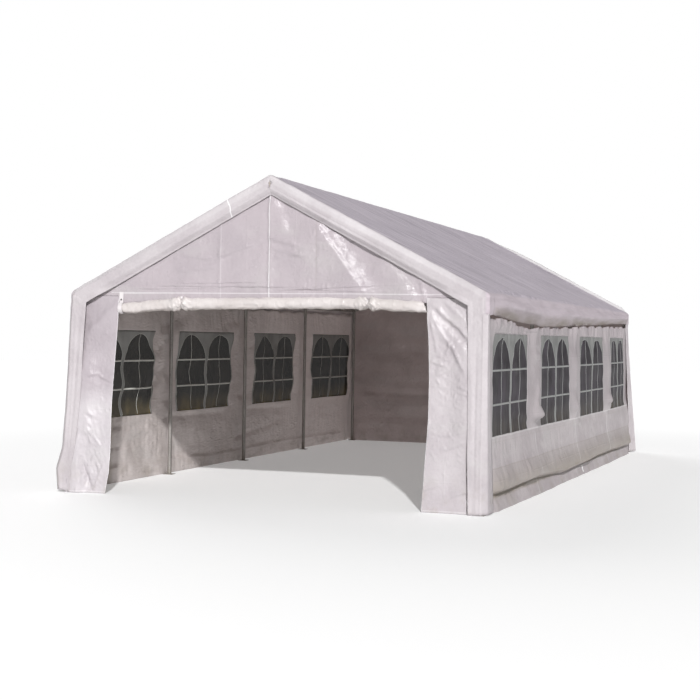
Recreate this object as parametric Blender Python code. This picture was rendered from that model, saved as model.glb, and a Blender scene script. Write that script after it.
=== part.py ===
"""Marquee tent: a steel tube frame with a fabric roof cover, front wall, side walls and back wall.

Units are metres, +Z is up, the doorway faces -Y, and the origin is on the ground in the middle of the
footprint. Frames are numbered 1 to 5 and windows 1 to 4, from the front to the back.
"""
import math

import bmesh
import bpy
from mathutils import Matrix, Vector

# Driving dimensions
WIDTH = 4.0                # over the roof cover
LENGTH = 8.0               # over the roof cover
EAVE_HEIGHT = 1.91         # outer edge of the cover where slope and valance meet
RIDGE_HEIGHT = 2.955       # top of the cover
FRAME_COUNT = 5
GAP = 0.0003               # left between pieces that touch

# Tubes and their connectors
TUBE_R = 0.019
LOWER_TUBE_R = 0.0205      # the lower half of a leg is one size thicker
LOWER_TUBE_TOP = 0.66
CONNECTOR_R = 0.0215
CONNECTOR_ARM = 0.12
TUBE_SIDES = 16
FOOT_SIZE = 0.10
FOOT_T = 0.005
PEG_HOLE_R = 0.006
PEG_HOLE_OFFSET = 0.037

# Sheets
COVER_T = 0.005
WALL_T = 0.004
VALANCE_DROP = 0.22
BAND_DROP = 0.19           # measured straight down from the slope
LEG_COVER_W = 0.16
SKIRT_TOP = 0.16
SKIRT_FLARE = 0.05
SIDE_WALL_TOP = 1.71

# Front wall: the doorway's edges lean, as the loose strips beside it hang
GABLE_FOOT = 1.855
DOOR_LEFT_TOP = -1.52
DOOR_LEFT_FOOT = -1.64
DOOR_RIGHT = 1.47
ROLL_R = 0.05
ROLL_END_GAP = 0.004       # its sloping ends stay clear of the strips
ROLL_LEFT_SAG = 0.05
ROLL_RIGHT_SAG = 0.028

# Windows
WINDOW_W = 1.40
WINDOW_LOW = 0.655
WINDOW_HIGH = 1.555
WINDOW_T = 0.003

# Places worked out from the driving dimensions
COVER_IN_X = WIDTH / 2 - COVER_T
WALL_OUT_X = COVER_IN_X - GAP
WALL_IN_X = WALL_OUT_X - WALL_T
LEG_X = WALL_IN_X - GAP - CONNECTOR_R
COVER_IN_Y = LENGTH / 2 - COVER_T
FRAME_Y = COVER_IN_Y - GAP - CONNECTOR_R
PANEL_OUT_Y = FRAME_Y - CONNECTOR_R - GAP
PANEL_IN_Y = PANEL_OUT_Y - WALL_T
SLOPE = (RIDGE_HEIGHT - EAVE_HEIGHT) / (WIDTH / 2)
SLOPE_COS = math.cos(math.atan(SLOPE))
RIDGE_Z = RIDGE_HEIGHT - (COVER_T + GAP + CONNECTOR_R) / SLOPE_COS
EAVE_Z = RIDGE_Z - SLOPE * LEG_X
HEM_Z = FOOT_T + GAP       # sheets end just above the foot plates
BAY = 2 * FRAME_Y / (FRAME_COUNT - 1)
SIDES = (("left", -1), ("right", 1))

# Materials: colour, roughness, metallic
FINISHES = {
    "galvanised": ((0.55, 0.56, 0.57), 0.45, 1.0),
    "roof_sheet": ((0.74, 0.74, 0.76), 0.55, 0.0),
    "wall_sheet": ((0.78, 0.77, 0.78), 0.50, 0.0),
    "window_film": ((0.72, 0.75, 0.77), 0.15, 0.0),
}


def clear_scene():
    for thing in list(bpy.data.objects):
        bpy.data.objects.remove(thing, do_unlink=True)


def new_collection(name):
    collection = bpy.data.collections.new(name)
    bpy.context.scene.collection.children.link(collection)
    return collection


clear_scene()
PARTS = new_collection("marquee_tent")
CUTTERS = new_collection("cutters")


def make_finish(name, finish):
    """One Principled material of its own for a piece."""
    colour, roughness, metallic = FINISHES[finish]
    material = bpy.data.materials.new(name)
    material.use_nodes = True
    shader = material.node_tree.nodes["Principled BSDF"]
    shader.inputs["Base Color"].default_value = (*colour, 1.0)
    shader.inputs["Roughness"].default_value = roughness
    shader.inputs["Metallic"].default_value = metallic
    return material


def add_object(name, shape, collection):
    mesh = bpy.data.meshes.new(name)
    shape.to_mesh(mesh)
    shape.free()
    thing = bpy.data.objects.new(name, mesh)
    collection.objects.link(thing)
    if collection == CUTTERS:
        thing.hide_render = True
        thing.display_type = "WIRE"
    return thing


def finish_part(thing, finish):
    thing.data.materials.clear()
    thing.data.materials.append(make_finish(thing.name, finish))


def tube(name, start, end, radius, collection=PARTS):
    """A straight capped tube between two points."""
    start = Vector(start)
    run = Vector(end) - start
    shape = bmesh.new()
    bmesh.ops.create_cone(
        shape, cap_ends=True, segments=TUBE_SIDES, radius1=radius, radius2=radius, depth=run.length)
    turn = run.to_track_quat("Z", "Y").to_matrix().to_4x4()
    bmesh.ops.transform(shape, matrix=Matrix.Translation(start + run / 2) @ turn, verts=shape.verts)
    return add_object(name, shape, collection)


def box(name, low, high, collection=PARTS):
    low = Vector(low)
    high = Vector(high)
    shape = bmesh.new()
    bmesh.ops.create_cube(shape, size=1.0)
    bmesh.ops.scale(shape, vec=high - low, verts=shape.verts)
    bmesh.ops.translate(shape, vec=(low + high) / 2, verts=shape.verts)
    return add_object(name, shape, collection)


def slab(name, outline, y_low, y_high, collection=PARTS):
    """A flat outline of (x, z) points, carried along Y from y_low to y_high."""
    shape = bmesh.new()
    corners = [shape.verts.new((x, y_low, z)) for x, z in outline]
    face = shape.faces.new(corners)
    swept = bmesh.ops.extrude_face_region(shape, geom=[face])
    moved = [part for part in swept["geom"] if isinstance(part, bmesh.types.BMVert)]
    bmesh.ops.translate(shape, vec=(0, y_high - y_low, 0), verts=moved)
    bmesh.ops.recalc_face_normals(shape, faces=shape.faces)
    return add_object(name, shape, collection)


def combine(thing, others, operation):
    """Joins others into thing, or cuts them out of it, and keeps the result as its mesh."""
    for other in others:
        step = thing.modifiers.new("combine", "BOOLEAN")
        step.operation = operation
        step.object = other
        shape = bmesh.new()
        shape.from_object(thing, bpy.context.evaluated_depsgraph_get())
        thing.modifiers.remove(step)
        bmesh.ops.remove_doubles(shape, verts=shape.verts, dist=0.00001)
        shape.to_mesh(thing.data)
        shape.free()
        bpy.data.objects.remove(other, do_unlink=True)


def frame_place(index):
    """The Y of frame 1 to FRAME_COUNT."""
    return -FRAME_Y + (index - 1) * BAY


def slope_direction(sign):
    """Down the roof from the ridge, towards the left (-1) or right (+1) eave."""
    return Vector((sign, 0, -SLOPE)).normalized()


def make_legs():
    """Two-piece posts, each fused to its foot plate with two peg holes."""
    for side, sign in SIDES:
        for index in range(1, FRAME_COUNT + 1):
            x = sign * LEG_X
            y = frame_place(index)
            leg = box(
                f"leg_{side}_{index}",
                (x - FOOT_SIZE / 2, y - FOOT_SIZE / 2, 0),
                (x + FOOT_SIZE / 2, y + FOOT_SIZE / 2, FOOT_T))
            lower = tube("lower", (x, y, FOOT_T / 2), (x, y, LOWER_TUBE_TOP), LOWER_TUBE_R, CUTTERS)
            top = EAVE_Z - CONNECTOR_ARM - GAP
            upper = tube("upper", (x, y, LOWER_TUBE_TOP / 2), (x, y, top), TUBE_R, CUTTERS)
            combine(leg, [lower, upper], "UNION")
            holes = []
            for corner in (-1, 1):
                hole_x = x + corner * PEG_HOLE_OFFSET
                hole_y = y + corner * PEG_HOLE_OFFSET
                hole = tube(
                    "peg_hole", (hole_x, hole_y, -FOOT_T), (hole_x, hole_y, 2 * FOOT_T),
                    PEG_HOLE_R, CUTTERS)
                holes.append(hole)
            combine(leg, holes, "DIFFERENCE")
            finish_part(leg, "galvanised")


def make_rafters():
    """Roof tubes between the eave and ridge connectors."""
    for side, sign in SIDES:
        for index in range(1, FRAME_COUNT + 1):
            y = frame_place(index)
            ridge = Vector((0, y, RIDGE_Z))
            eave = Vector((sign * LEG_X, y, EAVE_Z))
            inset = slope_direction(sign) * (CONNECTOR_ARM + GAP)
            rafter = tube(f"rafter_{side}_{index}", ridge + inset, eave - inset, TUBE_R)
            finish_part(rafter, "galvanised")


def make_rail(name, x, z, arms):
    """A line of tubes along Y with a connector at each frame, whose arms take the other tubes."""
    rail = tube(name, (x, -FRAME_Y, z), (x, FRAME_Y, z), TUBE_R)
    for index in range(1, FRAME_COUNT + 1):
        centre = Vector((x, frame_place(index), z))
        along = Vector((0, CONNECTOR_ARM, 0))
        front = centre if index == 1 else centre - along
        back = centre if index == FRAME_COUNT else centre + along
        pieces = [tube("sleeve", front, back, CONNECTOR_R, CUTTERS)]
        for arm in arms:
            pieces.append(tube("arm", centre, centre + arm * CONNECTOR_ARM, CONNECTOR_R, CUTTERS))
        combine(rail, pieces, "UNION")
    finish_part(rail, "galvanised")


def make_rails():
    make_rail("ridge_rail", 0, RIDGE_Z, [slope_direction(-1), slope_direction(1)])
    for side, sign in SIDES:
        down = Vector((0, 0, -1))
        make_rail(f"eave_rail_{side}", sign * LEG_X, EAVE_Z, [down, -slope_direction(sign)])


def house_outline(half_width, ridge_height, foot):
    """Both walls with their flared skirts, and both slopes, as a closed outline."""
    eave = ridge_height - SLOPE * half_width
    flare = half_width + SKIRT_FLARE * (SKIRT_TOP - foot) / SKIRT_TOP
    right = [(flare, foot), (half_width, SKIRT_TOP), (half_width, eave)]
    left = [(-x, z) for x, z in reversed(right)]
    return right + [(0, ridge_height)] + left


def band_outline():
    """The opening that the gable band and the leg covers leave at each end."""
    half = WIDTH / 2 - LEG_COVER_W
    apex = RIDGE_HEIGHT - BAND_DROP
    below = -FOOT_T
    corner = apex - SLOPE * half
    return [(half, below), (half, corner), (0, apex), (-half, corner), (-half, below)]


def make_roof_cover():
    """One sheet: slopes, valances, bands down both gables, and a cover over each corner leg."""
    cover = slab("roof_cover", house_outline(WIDTH / 2, RIDGE_HEIGHT, HEM_Z), -LENGTH / 2, LENGTH / 2)
    inner = slab(
        "inside", house_outline(COVER_IN_X, RIDGE_HEIGHT - COVER_T / SLOPE_COS, -FOOT_T),
        -COVER_IN_Y, COVER_IN_Y, CUTTERS)
    ends = slab("ends", band_outline(), -LENGTH, LENGTH, CUTTERS)
    reach = LENGTH / 2 - LEG_COVER_W
    sides = box(
        "sides", (-WIDTH, -reach, -FOOT_T), (WIDTH, reach, EAVE_HEIGHT - VALANCE_DROP), CUTTERS)
    combine(cover, [inner, ends, sides], "DIFFERENCE")
    finish_part(cover, "roof_sheet")


def gable_top():
    """The upper edge of a gable sheet, which passes under the ridge and eave tubes."""
    drop = CONNECTOR_R + GAP
    inner = LEG_X - drop
    corner = RIDGE_Z - drop - SLOPE * inner
    return [(inner, corner), (0, RIDGE_Z - drop), (-inner, corner)]


def make_front_wall():
    """The gable, hung behind the front rafters, and a strip on each side of the doorway."""
    inner = LEG_X - CONNECTOR_R - GAP
    outer = WALL_IN_X - GAP
    top = GABLE_FOOT - GAP
    outlines = {
        "front_gable": [(inner, GABLE_FOOT)] + gable_top() + [(-inner, GABLE_FOOT)],
        "front_strip_left": [
            (-outer, HEM_Z), (DOOR_LEFT_FOOT, HEM_Z), (DOOR_LEFT_TOP, top), (-outer, top)],
        "front_strip_right": [(DOOR_RIGHT, HEM_Z), (outer, HEM_Z), (outer, top), (DOOR_RIGHT, top)],
    }
    for name, outline in outlines.items():
        finish_part(slab(name, outline, -PANEL_OUT_Y, -PANEL_IN_Y), "wall_sheet")


def make_rolled_door():
    """The door, rolled up and tied under the gable, sagging at both ends."""
    curve = bpy.data.curves.new("rolled_door", "CURVE")
    curve.dimensions = "3D"
    curve.bevel_depth = ROLL_R
    curve.bevel_resolution = 4
    curve.use_fill_caps = True
    low = DOOR_LEFT_TOP + ROLL_END_GAP
    high = DOOR_RIGHT - ROLL_END_GAP
    y = -LENGTH / 2 + ROLL_R
    top = GABLE_FOOT - GAP - ROLL_R
    places = [
        (low, y, top - ROLL_LEFT_SAG),
        (low * 0.6, y, top - ROLL_LEFT_SAG * 0.25),
        (0, y, top),
        (high * 0.6, y, top - ROLL_RIGHT_SAG * 0.25),
        (high, y, top - ROLL_RIGHT_SAG),
    ]
    spline = curve.splines.new("POLY")
    spline.points.add(len(places) - 1)
    for point, place in zip(spline.points, places):
        point.co = (*place, 1.0)
    guide = bpy.data.objects.new("roll_guide", curve)
    CUTTERS.objects.link(guide)
    mesh = bpy.data.meshes.new_from_object(guide.evaluated_get(bpy.context.evaluated_depsgraph_get()))
    bpy.data.objects.remove(guide, do_unlink=True)
    shape = bmesh.new()
    shape.from_mesh(mesh)
    bpy.data.meshes.remove(mesh)
    bmesh.ops.remove_doubles(shape, verts=shape.verts, dist=0.00001)
    bmesh.ops.recalc_face_normals(shape, faces=shape.faces)
    finish_part(add_object("rolled_door", shape, PARTS), "wall_sheet")


def make_back_wall():
    """The plain back wall and its gable in one sheet."""
    outer = WALL_IN_X - GAP
    shoulder = EAVE_Z - CONNECTOR_R - GAP
    inner = LEG_X - CONNECTOR_R - GAP
    right = [(outer, HEM_Z), (outer, shoulder), (inner, shoulder)]
    left = [(-x, z) for x, z in reversed(right)]
    wall = slab("back_wall", right + gable_top() + left, PANEL_IN_Y, PANEL_OUT_Y)
    finish_part(wall, "wall_sheet")


def make_side_walls():
    """Walls with a window opening in each bay, each closed by a clear film, and a flared skirt."""
    reach = COVER_IN_Y - GAP
    flare = SKIRT_FLARE * (SKIRT_TOP - HEM_Z) / SKIRT_TOP
    for side, sign in SIDES:
        outline = [
            (sign * WALL_IN_X, SIDE_WALL_TOP),
            (sign * WALL_OUT_X, SIDE_WALL_TOP),
            (sign * WALL_OUT_X, SKIRT_TOP),
            (sign * (WALL_OUT_X + flare), HEM_Z),
            (sign * (WALL_IN_X + flare), HEM_Z),
            (sign * WALL_IN_X, SKIRT_TOP),
        ]
        wall = slab(f"side_wall_{side}", outline, -reach, reach)
        holes = []
        for index in range(1, FRAME_COUNT):
            middle = frame_place(index) + BAY / 2
            low = (sign * WIDTH / 2 - 0.1, middle - WINDOW_W / 2, WINDOW_LOW)
            high = (sign * WIDTH / 2 + 0.1, middle + WINDOW_W / 2, WINDOW_HIGH)
            holes.append(box("window_hole", low, high, CUTTERS))
            near, far = sorted((sign * WALL_IN_X, sign * (WALL_IN_X + WINDOW_T)))
            film = box(
                f"window_{side}_{index}",
                (near, middle - WINDOW_W / 2 + GAP, WINDOW_LOW + GAP),
                (far, middle + WINDOW_W / 2 - GAP, WINDOW_HIGH - GAP))
            finish_part(film, "window_film")
        combine(wall, holes, "DIFFERENCE")
        finish_part(wall, "wall_sheet")


make_legs()
make_rafters()
make_rails()
make_roof_cover()
make_front_wall()
make_rolled_door()
make_back_wall()
make_side_walls()
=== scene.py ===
"""Marquee tent: the finish of its steel frame, and the polythene sheets that hang on it.

Metres, +Z up. The doorway faces -Y, and left and right are as seen from in front of it.
"""
import math

import bmesh
import bpy
import numpy as np
from mathutils import Matrix, Vector


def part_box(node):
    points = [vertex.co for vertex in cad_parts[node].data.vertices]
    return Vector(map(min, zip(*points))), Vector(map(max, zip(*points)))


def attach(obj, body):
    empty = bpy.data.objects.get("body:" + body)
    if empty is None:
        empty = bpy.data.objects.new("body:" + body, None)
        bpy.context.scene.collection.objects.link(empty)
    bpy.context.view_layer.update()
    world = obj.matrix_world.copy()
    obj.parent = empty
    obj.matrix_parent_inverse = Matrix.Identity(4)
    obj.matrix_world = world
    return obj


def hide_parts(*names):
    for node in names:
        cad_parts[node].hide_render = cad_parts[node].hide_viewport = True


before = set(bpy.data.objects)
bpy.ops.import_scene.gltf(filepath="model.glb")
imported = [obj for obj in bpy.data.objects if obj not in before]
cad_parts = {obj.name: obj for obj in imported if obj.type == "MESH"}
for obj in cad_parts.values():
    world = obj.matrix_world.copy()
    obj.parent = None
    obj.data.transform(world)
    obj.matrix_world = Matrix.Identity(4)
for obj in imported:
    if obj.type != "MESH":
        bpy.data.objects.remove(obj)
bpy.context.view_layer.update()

# Camera: someone stands about 12 metres in front of the right-hand corner, with the eye at head
# height, and looks along the right wall.
CAMERA_PLACE = (4.963, -15.902, 1.502)
CAMERA_YAW = math.radians(19.37)
CAMERA_PITCH = math.radians(-0.49)
CAMERA_ROLL = math.radians(0.97)

camera_data = bpy.data.cameras.new("camera")
camera_data.lens = 73.7
camera_data.clip_end = 200
camera = bpy.data.objects.new("camera", camera_data)
camera.matrix_world = (
    Matrix.Translation(CAMERA_PLACE) @ Matrix.Rotation(CAMERA_YAW, 4, "Z")
    @ Matrix.Rotation(math.pi / 2 + CAMERA_PITCH, 4, "X") @ Matrix.Rotation(CAMERA_ROLL, 4, "Z"))
bpy.context.scene.collection.objects.link(camera)
bpy.context.scene.camera = camera

# Studio: a key light over the right shoulder, a weak soft one from behind on the left, an even pale
# room around them, and a pale floor that turns as white as the room far from the tent.
KEY_DIRECTION = Vector((0.37, -0.81, 0.49))
KEY_STRENGTH = 3.4
KEY_SOFTNESS = math.radians(1.5)
FILL_DIRECTION = Vector((-0.60, 0.60, 0.45))
FILL_STRENGTH = 0.9
FILL_SOFTNESS = math.radians(40)
ROOM_STRENGTH = 0.23
FLOOR_RADIUS = 60
FLOOR_COLOUR = (0.80, 0.80, 0.80, 1)
FLOOR_GLOW = (0.22, 0.22, 0.22, 1)
FLOOR_FADE_START = 5.0
FLOOR_FADE_END = 13.0
WHITE = (1, 1, 1, 1)
BLACK = (0, 0, 0, 1)


class Signal:
    """A socket of a shader. Sums on it add Math nodes, so that a pattern reads as one expression."""

    def __init__(self, finish, socket):
        self.finish = finish
        self.socket = socket

    def __add__(self, other):
        return self.finish.maths("ADD", self, other)

    def __radd__(self, other):
        return self.finish.maths("ADD", other, self)

    def __sub__(self, other):
        return self.finish.maths("SUBTRACT", self, other)

    def __rsub__(self, other):
        return self.finish.maths("SUBTRACT", other, self)

    def __mul__(self, other):
        return self.finish.maths("MULTIPLY", self, other)

    def __rmul__(self, other):
        return self.finish.maths("MULTIPLY", other, self)


class Finish:
    """A material with one Principled shader, and the nodes of the patterns on it."""

    def __init__(self, name, **levels):
        self.material = bpy.data.materials.new(name)
        self.material.use_nodes = True
        self.tree = self.material.node_tree
        self.shader = self.tree.nodes["Principled BSDF"]
        for level, value in levels.items():
            self.set(value, self.shader.inputs[level.replace("_", " ")])

    def set(self, value, socket):
        """Links a pattern to a socket, or sets the socket to a plain value."""
        if isinstance(value, Signal):
            self.tree.links.new(value.socket, socket)
        else:
            socket.default_value = value

    def node(self, kind, output, settings, **values):
        """Adds a node and returns one of its outputs. Its inputs are named, or numbered after a _."""
        made = self.tree.nodes.new(kind)
        for setting, value in settings.items():
            setattr(made, setting, value)
        for socket, value in values.items():
            place = int(socket[1:]) if socket.startswith("_") else socket.replace("_", " ")
            self.set(value, made.inputs[place])
        return Signal(self, made.outputs[output])

    def maths(self, operation, first, second):
        """A Math node on one or two values. Where it needs only the first, the second is 0."""
        return self.node("ShaderNodeMath", "Value", {"operation": operation}, _0=first, _1=second)

    def apply(self, **signals):
        """Feeds patterns to the shader."""
        for level, value in signals.items():
            self.set(value, self.shader.inputs[level.replace("_", " ")])

    def where(self):
        """Places in the object's own space, in metres."""
        return self.node("ShaderNodeTexCoord", "Object", {})

    def part_of(self, place, axis):
        """One of the three numbers of a place."""
        return self.node("ShaderNodeSeparateXYZ", axis, {}, Vector=place)

    def stretched(self, place, scale):
        """Places for a pattern that is finer along one direction than another."""
        return self.node("ShaderNodeMapping", "Vector", {}, Vector=place, Scale=scale)

    def ramp(self, value, low, high):
        """0 below low, 1 above high, and a smooth rise between them."""
        return self.node(
            "ShaderNodeMapRange", "Result", {"interpolation_type": "SMOOTHSTEP"},
            Value=value, From_Min=low, From_Max=high)

    def clouds(self, place, scale, detail=3.0, kind="FBM"):
        """Soft noise around 0.5."""
        return self.node(
            "ShaderNodeTexNoise", "Fac", {"noise_type": kind}, Vector=place, Scale=scale, Detail=detail)

    def blend(self, share, first, second):
        """The first colour, turning into the second as share goes from 0 to 1."""
        return self.node(
            "ShaderNodeMix", 2, {"data_type": "RGBA"}, _0=share, _6=first, _7=second)

    def bump(self, height, distance, under=None):
        """A surface that stands out by distance where height is 1, on top of another bump."""
        values = {"Height": height, "Distance": distance}
        if under:
            values["Normal"] = under
        return self.node("ShaderNodeBump", "Normal", {}, **values)


def add_light(name, strength, softness, direction):
    """A far light that shines from direction. Softness is the angle that it fills in the sky."""
    data = bpy.data.lights.new(name, "SUN")
    data.energy = strength
    data.angle = softness
    light = bpy.data.objects.new(name, data)
    light.rotation_euler = direction.to_track_quat("Z", "Y").to_euler()
    bpy.context.scene.collection.objects.link(light)


add_light("key_light", KEY_STRENGTH, KEY_SOFTNESS, KEY_DIRECTION)
add_light("fill_light", FILL_STRENGTH, FILL_SOFTNESS, FILL_DIRECTION)

room = bpy.data.worlds.new("room")
room.use_nodes = True
bpy.context.scene.world = room
room_seen = room.node_tree.nodes.new("ShaderNodeLightPath")
room_light = room.node_tree.nodes.new("ShaderNodeMath")
room_light.operation = "MAXIMUM"
room_light.inputs[1].default_value = ROOM_STRENGTH
room_shader = room.node_tree.nodes["Background"]
room_shader.inputs["Color"].default_value = WHITE
room.node_tree.links.new(room_seen.outputs["Is Camera Ray"], room_light.inputs[0])
room.node_tree.links.new(room_light.outputs["Value"], room_shader.inputs["Strength"])
bpy.context.scene.view_settings.view_transform = "Standard"

floor_shape = bmesh.new()
bmesh.ops.create_circle(floor_shape, cap_ends=True, segments=96, radius=FLOOR_RADIUS)
floor_mesh = bpy.data.meshes.new("floor")
floor_shape.to_mesh(floor_mesh)
floor_shape.free()
floor = bpy.data.objects.new("floor", floor_mesh)
bpy.context.scene.collection.objects.link(floor)
floor_finish = Finish("floor_paint", Roughness=0.8, Emission_Strength=1.0)
floor_distance = floor_finish.node(
    "ShaderNodeVectorMath", "Value", {"operation": "LENGTH"}, _0=floor_finish.where())
floor_far = floor_finish.ramp(floor_distance, FLOOR_FADE_START, FLOOR_FADE_END)
floor_finish.apply(
    Base_Color=floor_finish.blend(floor_far, FLOOR_COLOUR, BLACK),
    Emission_Color=floor_finish.blend(floor_far, FLOOR_GLOW, WHITE))
floor_mesh.materials.append(floor_finish.material)

# Steel frame: push-fit tubes of galvanised steel, 38 mm across. The zinc is dull, with a fine
# crystal pattern, grey streaks along the tubes, and dust and wear near the ground.
ZINC = (0.44, 0.42, 0.40, 1)
ZINC_DARK = (0.25, 0.235, 0.22, 1)
ZINC_DUST = (0.34, 0.31, 0.27, 1)
SPANGLE_SIZE = 0.012
DUST_TOP = 0.25

zinc = Finish("galvanised_zinc", Metallic=0.85)
zinc_place = zinc.where()
zinc_spangle = zinc.node(
    "ShaderNodeTexVoronoi", "Distance", {}, Vector=zinc_place, Scale=1 / SPANGLE_SIZE)
zinc_streak = zinc.ramp(zinc.clouds(zinc.stretched(zinc_place, (60, 60, 4)), 1.0), 0.4, 0.7)
zinc_dust = 1 - zinc.ramp(
    zinc.part_of(zinc_place, "Z") + 0.2 * zinc.clouds(zinc_place, 9.0), 0.1, DUST_TOP)
zinc_colour = zinc.blend(0.5 * zinc_streak + 0.4 * zinc_spangle, ZINC, ZINC_DARK)
zinc.apply(
    Base_Color=zinc.blend(0.6 * zinc_dust, zinc_colour, ZINC_DUST),
    Roughness=0.45 + 0.15 * zinc_spangle + 0.2 * zinc_dust,
    Normal=zinc.bump(zinc_spangle, 0.0004))

FRAME_WORDS = ("leg_", "rafter_", "ridge_rail", "eave_rail_")
for name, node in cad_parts.items():
    if name.startswith(FRAME_WORDS):
        node.data.materials.clear()
        node.data.materials.append(zinc.material)

rail_low, rail_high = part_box("eave_rail_right")
FRAME_COUNT = 5
CONNECTOR_R = 0.0215
leg_x = rail_high.x - CONNECTOR_R
frame_y = rail_high.y
bay = 2 * frame_y / (FRAME_COUNT - 1)

# Roof cover: one sheet of woven polythene tape, coated on both sides. It lies over the rafters and
# hangs down as a valance at both eaves. At both gables it wraps over the end rafter as a band, and
# runs down each corner leg as a sleeve. The slopes are weathered to grey, the ends are still white.
HALF_WIDTH = 2.018
HALF_LENGTH = 4.032
RIDGE_Z = 2.957
SLOPE = math.atan2(2.955 - 1.91, 2.0)
UPRIGHT = math.pi / 2
RIDGE_BEND = 0.05
EAVE_BEND = 0.064
VALANCE_DROP = 0.235
SLEEVE_DROP = 1.85
SHEET_T = 0.0012
HEM_Z = 0.001
BAND_INNER_APEX = 2.775
BAND_INNER_CORNER_Z = 1.793
SLEEVE_EDGE = 3.840
END_PLAIN = 3.70
END_FACE = 4.056
FACE_LENGTH = 0.16
FACE_BACK = 0.038
FACE_RIPPLE = 0.007
SAG = 0.014
BELLY = 0.058
BELLY_TUCK = {"left": -0.020, "right": 0.034}
BACK_CREST = 0.030
# Each end turns from the roof or the wall down to its face. These are knots of the distance from
# the middle and the facing there: a plain bend over the ridge, and a slanting facet at the legs.
RIDGE_TURN = ((3.960, 0.0), (4.007, UPRIGHT))
EAVE_TURN = ((3.971, 0.0), (3.995, 0.80), (4.042, 0.80), (4.050, UPRIGHT))
VALANCE_HEM = (
    (-4.0, -3.6, -2.64, -1.7, -0.2, 1.63, 3.5, 4.0),
    (1.725, 1.706, 1.668, 1.640, 1.662, 1.700, 1.745, 1.750))
# The edges of the sleeves that lie over the side walls, at each height: where the right front one
# ends along the wall, and how far out the loose back ones lie.
FLAP_EDGE = ((0.073, 0.206, 0.555, 0.988, 1.417, 1.742), (3.777, 3.805, 3.849, 3.899, 3.942, 3.973))
BACK_FLAP = ((0.17, 0.60, 1.45, 1.70), (2.084, 2.066, 2.021, 2.012))
EAVE_FOLDS = (             # from, to, width, height, step
    ((2.160, -3.45), (2.200, -2.30), 0.014, 0.010, 0.005),
    ((2.225, -3.10), (2.235, -1.50), 0.016, 0.011, 0.006),
    ((2.190, -1.90), (2.160, -0.80), 0.014, 0.009, 0.004),
    ((2.240, -0.95), (2.205, 0.95), 0.016, 0.010, 0.006),
    ((2.180, 1.00), (2.215, 2.70), 0.014, 0.009, 0.004),
    ((2.245, 1.60), (2.230, 3.40), 0.016, 0.009, 0.005),
    ((2.400, -3.30), (2.430, -1.60), 0.018, 0.010, 0.005),
    ((2.380, -0.90), (2.440, 1.30), 0.018, 0.009, 0.005),
    ((2.430, 1.90), (2.390, 3.50), 0.016, 0.008, 0.005),
)

SHEET_WHITE = (0.560, 0.520, 0.537, 1)
SHEET_SHADE = (0.460, 0.415, 0.437, 1)
SHEET_GREEN = (0.500, 0.490, 0.475, 1)
# The darkest colour is real dirt near the ground, and painted shade where the other marks use it: in
# creases, under the valance and the roll, along dark seams, and beside the doorway inside.
SHEET_DIRT_AND_SHADE = (0.28, 0.235, 0.19, 1)
COVER_WHITE = (0.525, 0.487, 0.503, 1)
COVER_SHADE = (0.43, 0.388, 0.408, 1)
LINING_WHITE = (0.610, 0.553, 0.538, 1)
LINING_SHADE = (0.440, 0.392, 0.376, 1)
LINING_PAINTED_LIGHT = (0.93, 0.850, 0.830, 1)
ROOF_GREY = (0.548, 0.494, 0.551, 1)
ROOF_GREY_DARK = (0.365, 0.328, 0.374, 1)
VALANCE_GREY = (0.55, 0.475, 0.505, 1)
RAIN_LEAN = 0.35
PACK_WIDTHS = (0.47, 0.53)
PACK_CREASE_W = 0.011
WOVEN_TAPE_W = 0.005
GROUND_DIRT_TOP = 0.40
END_LIE = (1.2, 1.2, 1.0)


def ripple(a, b, seed):
    """Smooth waves about one unit long, from about -0.7 to 0.7, the same for the same seed."""
    turn = np.random.default_rng(seed).uniform(0, 2 * np.pi, (128, 128))
    column = np.floor(a).astype(int)
    row = np.floor(b).astype(int)
    across = a - column
    down = b - row

    def slope_from(step_a, step_b):
        angle = turn[(column + step_a) % 128, (row + step_b) % 128]
        return np.cos(angle) * (across - step_a) + np.sin(angle) * (down - step_b)

    share_a = across ** 3 * (across * (across * 6 - 15) + 10)
    share_b = down ** 3 * (down * (down * 6 - 15) + 10)
    near = slope_from(0, 0) * (1 - share_a) + slope_from(1, 0) * share_a
    far = slope_from(0, 1) * (1 - share_a) + slope_from(1, 1) * share_a
    return near * (1 - share_b) + far * share_b


def crumple(a, b, seed):
    """Sharp small ridges round soft dents, as packing leaves them in a coated sheet."""
    bent_a = a + 0.35 * ripple(a * 0.7, b * 0.7, seed + 50)
    bent_b = b + 0.35 * ripple(a * 0.7, b * 0.7, seed + 60)
    ridges = 0.45 - np.abs(ripple(bent_a, bent_b, seed)) * 2
    finer = 0.45 - np.abs(ripple(bent_a * 2.3, bent_b * 2.3, seed + 1)) * 2
    return ridges + 0.45 * finer


def rise(value, low, high):
    """0 below low, 1 above high, and a smooth rise between them."""
    share = np.clip((value - low) / (high - low), 0, 1)
    return share * share * (3 - 2 * share)


def hump(value, middle, width):
    """1 in the middle, and a smooth fall to 0 on both sides."""
    return np.exp(-((value - middle) / width) ** 2)


def fold(a, b, start, end, width, height, step=0.0):
    """A ridge that wanders about a line and fades at both ends. A step makes one side stand higher."""
    run = (end[0] - start[0], end[1] - start[1])
    length = math.hypot(*run)
    along = ((a - start[0]) * run[0] + (b - start[1]) * run[1]) / length
    off = ((b - start[1]) * run[0] - (a - start[0]) * run[1]) / length
    seed_place = 10 * start[0] + 7 * start[1]
    off = off + 0.6 * width * ripple(along / 0.11, along * 0 + seed_place, 90)
    uneven = 1 + 0.8 * ripple(along / 0.06, along * 0 + seed_place, 91)
    reach = rise(along, 0, 0.15 * length) * (1 - rise(along, 0.6 * length, length))
    ridge = height * uneven * np.exp(-np.abs(off / width) ** 1.4)
    shelf = step * np.tanh(off / width) * np.exp(-(off / (4 * width)) ** 2)
    return reach * (ridge + shelf)


def folded(a, b, folds):
    """A list of folds, one on top of another."""
    return sum(fold(a, b, *one) for one in folds)


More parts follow.
